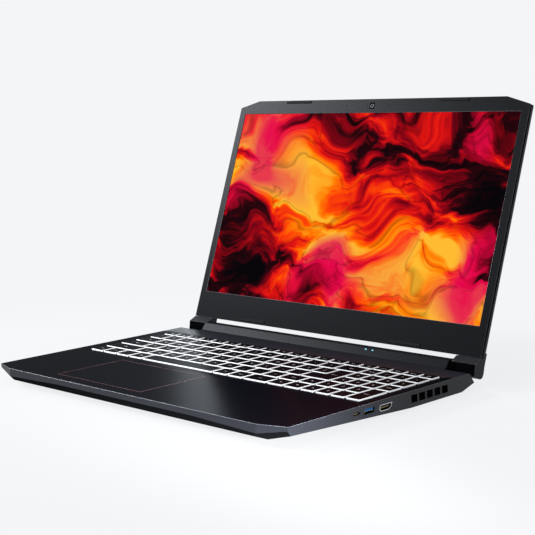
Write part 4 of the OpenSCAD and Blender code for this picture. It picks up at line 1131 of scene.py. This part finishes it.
def outline_of(node):
    """The outline of a node's lower face, counter-clockwise, and the node's height."""
    form = welded_form(node)
    bmesh.ops.dissolve_limit(form, angle_limit=FLAT, verts=form.verts, edges=form.edges)
    heights = [vert.co.z for vert in form.verts]
    low, high = min(heights), max(heights)
    base = max((face for face in form.faces if face.normal.z < -UPWARD), key=lambda face: face.calc_area())
    outline = [Vector((vert.co.x, vert.co.y, low)) for vert in reversed(base.verts)]
    form.free()
    return outline, high - low


def outline_cap(node):
    """A cap for a key that isn't a rectangle, grown from the outline of its CAD key."""
    outline, height = outline_of(node)
    form = bmesh.new()
    form.faces.new([form.verts.new(point) for point in outline])
    bmesh.ops.bevel(form, geom=form.verts[:], offset=OUTLINE_CORNER, segments=CORNER_STEPS, affect="VERTICES",
                    profile=0.5)
    sheet = max(form.faces, key=lambda face: face.calc_area())
    grown = bmesh.ops.extrude_face_region(form, geom=[sheet], use_keep_orig=True)["geom"]
    bmesh.ops.translate(form, vec=(0, 0, height - CAP_HEIGHT),
                        verts=[item for item in grown if isinstance(item, bmesh.types.BMVert)])
    top = next(item for item in grown if isinstance(item, bmesh.types.BMFace))
    bmesh.ops.inset_region(form, faces=[top], thickness=CAP_LEAN, depth=0)
    for vert in top.verts:
        vert.co.z = outline[0].z + height
    bmesh.ops.recalc_face_normals(form, faces=form.faces)
    top.material_index = 1
    mesh = mesh_from(form, node + "_outline")
    mesh.materials.append(skirt_white)
    mesh.materials.append(looks["keycap"])
    return mesh, Matrix.Identity(4)


# %% Make the caps


def finish_caps(node, meshes):
    """One piece with all the caps of a node, facing outwards."""
    piece = link(node + "_caps", join_meshes(node + "_caps", meshes))
    form = bmesh.new()
    form.from_mesh(piece.data)
    bmesh.ops.recalc_face_normals(form, faces=form.faces)
    form.to_mesh(piece.data)
    form.free()
    return piece


for node in key_nodes:
    if node == "enter_key":
        made = [outline_cap(node)]
    else:
        made = [cap_mesh(low, high) for low, high in key_boxes[node]]
    piece = finish_caps(node, made)
    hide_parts(node)
    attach(piece, body_of_node[node])
    print(piece.name, "caps:", len(made))

# %% [markdown]
# ## Screws in the underside
#
# Cross-head screws hold the bottom cover. They are alike, and copies placed by hand would have to be moved
# whenever the cover changes. So one geometry tree makes a single screw, a chamfered head with a cross cut
# out of it and a plain shank, and sets it on every point of a small mesh of screw places, read from the CAD
# screws.

# %% Screw tree
HEAD_CHAMFER = 0.82
CROSS_SINK = -0.25


def make_screw_tree():
    """Screws on the points of a mesh, heads down."""
    tree, into, out = open_group(
        "Cross-head screw",
        [("Geometry", GEOMETRY, None), ("Head radius", FLOAT, 2.2 * MM), ("Head height", FLOAT, 0.8 * MM),
         ("Cross length", FLOAT, 2.2 * MM), ("Cross width", FLOAT, 0.5 * MM),
         ("Shank radius", FLOAT, 1.2 * MM), ("Shank length", FLOAT, 5.5 * MM), ("Finish", MATERIAL, None)],
        [("Geometry", GEOMETRY)], kind="GeometryNodeTree")
    height = into.outputs["Head height"]
    chamfer = math_node(tree, "MULTIPLY", into.outputs["Head radius"], HEAD_CHAMFER)
    head = add(tree, "GeometryNodeMeshCone", Vertices=20, Radius_Top=into.outputs["Head radius"],
               Radius_Bottom=chamfer, Depth=height)
    long_side, short_side = into.outputs["Cross length"], into.outputs["Cross width"]
    bars = add(tree, "GeometryNodeJoinGeometry")
    for x, y in ((long_side, short_side), (short_side, long_side)):
        size = add(tree, "ShaderNodeCombineXYZ", X=x, Y=y, Z=height)
        bar = add(tree, "GeometryNodeMeshCube", Size=size.outputs[0])
        tree.links.new(bar.outputs["Mesh"], bars.inputs[0])
    sunk = add(tree, "ShaderNodeCombineXYZ", Z=math_node(tree, "MULTIPLY", height, CROSS_SINK))
    cross = add(tree, "GeometryNodeTransform", Geometry=bars.outputs[0], Translation=sunk.outputs[0])
    cut = add(tree, "GeometryNodeMeshBoolean", _operation="DIFFERENCE")
    tree.links.new(head.outputs["Mesh"], cut.inputs["Mesh 1"])
    tree.links.new(cross.outputs[0], cut.inputs["Mesh 2"])
    shank = add(tree, "GeometryNodeMeshCylinder", Vertices=12, Radius=into.outputs["Shank radius"],
                Depth=into.outputs["Shank length"])
    half = math_node(tree, "MULTIPLY", into.outputs["Shank length"], 0.5)
    raised = add(tree, "GeometryNodeTransform", Geometry=shank.outputs["Mesh"],
                 Translation=add(tree, "ShaderNodeCombineXYZ", Z=half).outputs[0])
    whole = add(tree, "GeometryNodeJoinGeometry")
    tree.links.new(cut.outputs["Mesh"], whole.inputs[0])
    tree.links.new(raised.outputs[0], whole.inputs[0])
    set_out = add(tree, "GeometryNodeInstanceOnPoints", Points=into.outputs["Geometry"],
                  Instance=whole.outputs[0])
    real = add(tree, "GeometryNodeRealizeInstances", Geometry=set_out.outputs[0])
    finished = add(tree, "GeometryNodeSetMaterial", Geometry=real.outputs[0], Material=into.outputs["Finish"])
    tree.links.new(finished.outputs[0], out.inputs["Geometry"])
    return tree


# %% Place the screws
HEAD_HEIGHT = 0.8 * MM
CROSS_LENGTH = 1.1
CROSS_WIDTH = 0.25


def place_screws():
    """Screws in place of the CAD ones, with a cross in proportion to the head's radius."""
    boxes = solids_of("bottom_screws")
    radius = (boxes[0][1].x - boxes[0][0].x) / 2
    middles = [((low.x + high.x) / 2, (low.y + high.y) / 2, low.z + HEAD_HEIGHT / 2) for low, high in boxes]
    places = bpy.data.meshes.new("screw_places")
    places.from_pydata(middles, [], [])
    mesh = run_tree(make_screw_tree(), "screw_places", start=places, Head_radius=radius,
                    Head_height=HEAD_HEIGHT, Cross_length=radius * CROSS_LENGTH,
                    Cross_width=radius * CROSS_WIDTH, Finish=looks["screw_steel"])
    piece = link("cross_head_screws", mesh)
    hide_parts("bottom_screws")
    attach(piece, "base")
    print("screws:", len(boxes), "faces:", len(mesh.polygons))


place_screws()

# %% [markdown]
# ## Key legends
#
# Letters, digits and the usual words for the working keys, in a pale translucent ink. An image of the
# letters would need unwrapped caps and would blur when seen from close by. So each legend is a text turned
# into a flat mesh and laid a few hundredths of a millimetre above its cap. Arrow keys carry small
# triangles, and the power key a broken ring. One mesh holds all the legends of a group of keys.

# %% Words and marks
LEGEND_LIFT = 0.03 * MM
LETTER_SIZE, WORD_SIZE, LONG_WORD_SIZE = 4.6 * MM, 3.1 * MM, 2.7 * MM
ENTER_UPRIGHT = 17 * MM
legends = {
    "function_row_keys": ["Esc"] + ["F%d" % n for n in range(1, 13)]
    + ["Prt", "Pau", "Del", "Home", "PgUp", "PgDn"],
    "number_row_keys": list("`1234567890-="),
    "upper_letter_keys": list("QWERTYUIOP[]"),
    "home_letter_keys": list("ASDFGHJKL;'"),
    "lower_letter_keys": list("ZXCVBNM,./"),
    "modifier_keys": ["Ctrl", "Fn", "", "Alt", "Alt", "Menu", "Ctrl"],
    "numpad_keys": ["Num", "/", "*", "-", "7", "8", "9", "+", "4", "5", "6", "End", "1", "2", "3", "0", "."],
    "backspace_key": ["Back"],
    "tab_key": ["Tab"],
    "caps_lock_key": ["Caps"],
    "left_shift_key": ["Shift"],
    "right_shift_key": ["Shift"],
    "numpad_enter_key": ["Enter"],
}
ARROW_TURNS = (0, 90, 180, -90)


def legend_size(words):
    """How tall its letters are: the longer, the smaller."""
    if len(words) == 1:
        return LETTER_SIZE
    return WORD_SIZE if len(words) < 4 else LONG_WORD_SIZE


def text_mesh(words):
    """A word as a flat mesh about its middle."""
    curve = bpy.data.curves.new("legend", "FONT")
    curve.body = words
    curve.size = legend_size(words)
    curve.align_x = "CENTER"
    curve.align_y = "CENTER"
    curve.resolution_u = 2
    holder = link("legend", curve)
    mesh = evaluated_mesh(holder)
    bpy.data.objects.remove(holder)
    return mesh


# %% Arrow and power marks


def flat_mesh(name, points, faces):
    """A flat mesh from points in the plane. The points of each face run counter-clockwise."""
    mesh = bpy.data.meshes.new(name)
    mesh.from_pydata([(x, y, 0) for x, y in points], [], faces)
    return mesh


def arrow_mark():
    """A small triangle that points away from the user."""
    half, foot, tip = 1.3 * MM, -0.8 * MM, 1.2 * MM
    return flat_mesh("arrow_mark", [(-half, foot), (half, foot), (0, tip)], [(0, 1, 2)])


def power_mark(radius=1.6 * MM, stroke=0.4 * MM, gap=80, steps=20):
    """A ring with a gap at the top, in degrees, and a short upright bar in the gap."""
    turns = [math.radians(90 + gap / 2 + step * (360 - gap) / steps) for step in range(steps + 1)]
    points = [(reach * math.cos(turn), reach * math.sin(turn))
              for turn in turns for reach in (radius, radius - stroke)]
    faces = [(2 * i, 2 * i + 2, 2 * i + 3, 2 * i + 1) for i in range(steps)]
    start = len(points)
    half, foot, tip = stroke / 2, 0.2 * radius, 1.2 * radius
    points += [(-half, foot), (half, foot), (half, tip), (-half, tip)]
    faces.append((start, start + 1, start + 2, start + 3))
    return flat_mesh("power_mark", points, faces)


def on_cap(low, high, turn=0.0):
    """Where a mark lies on a cap: its middle, turned about the vertical."""
    middle = Vector(((low.x + high.x) / 2, (low.y + high.y) / 2, high.z + LEGEND_LIFT))
    return Matrix.Translation(middle) @ Matrix.Rotation(math.radians(turn), 4, "Z")


# %% Lay the legends


def lay_legends(node, marks):
    """One piece with all the legends of a node, facing up."""
    piece = link(node + "_legends", join_meshes(node + "_legends", marks))
    for polygon in piece.data.polygons:
        if polygon.normal.z < 0:
            polygon.flip()
    paint(piece, legend_white)
    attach(piece, body_of_node[node])


marks = {node: [(text_mesh(word), on_cap(low, high))
                for word, (low, high) in zip(words, key_boxes[node]) if word]
         for node, words in legends.items()}
enter_low, enter_high = key_boxes["enter_key"][0]
upright_low = Vector((enter_high.x - ENTER_UPRIGHT, enter_low.y, enter_low.z))
marks["enter_key"] = [(text_mesh("Enter"), on_cap(upright_low, enter_high))]
marks["arrow_keys"] = [(arrow_mark(), on_cap(low, high, turn))
                       for turn, (low, high) in zip(ARROW_TURNS, key_boxes["arrow_keys"])]
marks["power_key"] = [(power_mark(), on_cap(*key_boxes["power_key"][0]))]
for node, laid in marks.items():
    lay_legends(node, laid)
print("legends:", sum(len(laid) for laid in marks.values()))

# %% [markdown]
# ## Studio
#
# A pale floor runs into a pale background. A single strong lamp would do for a matt object, but dark satin
# plastic shows mostly what it mirrors, so five soft lamps share the work. The strongest stands high at the
# front left. A low one behind on the left glances over the deck, one at the front fills the shadows, a
# small narrow one lights only the front right corner, and one above lights the tops. The background's full
# brightness is only for the camera, mirrors and glass, and the machine itself gets a weaker fill from it.

# %% World
PALE = (0.905, 0.913, 0.930, 1)
FILL_COLOUR = (0.9, 0.93, 1.0, 1)
FILL_STRENGTH = 0.4


def seen_directly(tree):
    """1 for rays from the camera, from a mirror or through glass."""
    path = add(tree, "ShaderNodeLightPath")
    either = math_node(tree, "MAXIMUM", path.outputs["Is Camera Ray"], path.outputs["Is Glossy Ray"])
    return math_node(tree, "MAXIMUM", either, path.outputs["Is Transmission Ray"])


def make_world():
    """A background that is pale to the eye and a weaker fill to every other ray."""
    world = bpy.data.worlds.new("studio")
    scene.world = world
    world.use_nodes = True
    tree = world.node_tree
    tree.nodes.clear()
    pale = add(tree, "ShaderNodeBackground", Color=PALE, Strength=1.0)
    fill = add(tree, "ShaderNodeBackground", Color=FILL_COLOUR, Strength=FILL_STRENGTH)
    mix = add(tree, "ShaderNodeMixShader", Fac=seen_directly(tree), in1=fill.outputs[0], in2=pale.outputs[0])
    add(tree, "ShaderNodeOutputWorld", Surface=mix.outputs[0])


make_world()
print("world:", scene.world.name)

# %% Floor
FLOOR_SIZE = 12.0
FLOOR_TONE = 0.10
FLOOR_LIFT = 0.89
FLOOR_BOUNCE = 0.18
SHADE_NEAR, SHADE_FAR = 0.2, 0.6


def make_floor():
    """A floor as pale as the background, which darkens only where the machine shades it.

    Near the machine it takes light and shade. From SHADE_NEAR to SHADE_FAR it turns into plain background.
    The light that it throws back on the machine comes from a plain matt grey.
    """
    size = FLOOR_SIZE
    floor = link("floor", flat_mesh("floor", [(-size, -size), (size, -size), (size, size), (-size, size)],
                                    [(0, 1, 2, 3)]))
    material = bpy.data.materials.new("floor_pale")
    material.use_nodes = True
    tree = material.node_tree
    tree.nodes.clear()
    place = add(tree, "ShaderNodeTexCoord").outputs["Object"]
    reach = add(tree, "ShaderNodeVectorMath", _operation="LENGTH", in0=place).outputs["Value"]
    near = add(tree, "ShaderNodeMapRange", _interpolation_type="SMOOTHSTEP", Value=reach, From_Min=SHADE_NEAR,
               From_Max=SHADE_FAR, To_Min=1.0, To_Max=0.0)
    matt = add(tree, "ShaderNodeBsdfDiffuse", Color=(FLOOR_TONE, FLOOR_TONE, FLOOR_TONE, 1))
    lift = add(tree, "ShaderNodeEmission", Color=PALE, Strength=FLOOR_LIFT)
    lit = add(tree, "ShaderNodeAddShader", in0=matt.outputs[0], in1=lift.outputs[0])
    plain = add(tree, "ShaderNodeEmission", Color=PALE, Strength=1.0)
    shown = add(tree, "ShaderNodeMixShader", Fac=near.outputs[0], in1=plain.outputs[0], in2=lit.outputs[0])
    solid = add(tree, "ShaderNodeBsdfDiffuse", Color=(FLOOR_BOUNCE, FLOOR_BOUNCE, FLOOR_BOUNCE, 1))
    both = add(tree, "ShaderNodeMixShader", Fac=seen_directly(tree), in1=solid.outputs[0],
               in2=shown.outputs[0])
    add(tree, "ShaderNodeOutputMaterial", Surface=both.outputs[0])
    floor.data.materials.append(material)


make_floor()
print("floor:", 2 * FLOOR_SIZE, "m across")

# %% Lamps


def soft_lamp(name, place, aim, size, power, colour=(1, 1, 1), spread=180):
    """A rectangular lamp, aimed at a point. spread is the angle of its beam in degrees."""
    data = bpy.data.lights.new(name, "AREA")
    data.shape = "RECTANGLE"
    data.size, data.size_y = size
    data.energy = power
    data.color = colour
    data.spread = math.radians(spread)
    lamp = bpy.data.objects.new(name, data)
    scene.collection.objects.link(lamp)
    lamp.location = place
    lamp.rotation_euler = (Vector(aim) - Vector(place)).to_track_quat("-Z", "Y").to_euler()


soft_lamp("left_lamp", (-1.7, -0.85, 1.15), (-0.1, 0.1, 0.1), (0.6, 0.6), 48, (0.88, 0.93, 1.0))
soft_lamp("deck_lamp", (-1.3, 1.25, 0.46), (0, -0.15, 0.02), (0.3, 0.4), 4.4, (0.84, 0.93, 1.0))
soft_lamp("front_lamp", (-0.2, -1.9, 1.6), (0, 0, 0.05), (1.2, 0.8), 5.5)
soft_lamp("right_lamp", (0.75, -0.35, 0.12), (0.18, -0.19, 0.01), (0.12, 0.08), 0.46, (0.95, 0.98, 1.0), 22)
soft_lamp("top_lamp", (0.0, 0.3, 2.0), (0, 0, 0), (1.6, 1.6), 9)
scene.view_settings.view_transform = "Standard"
print("lamps:", len(bpy.data.lights))
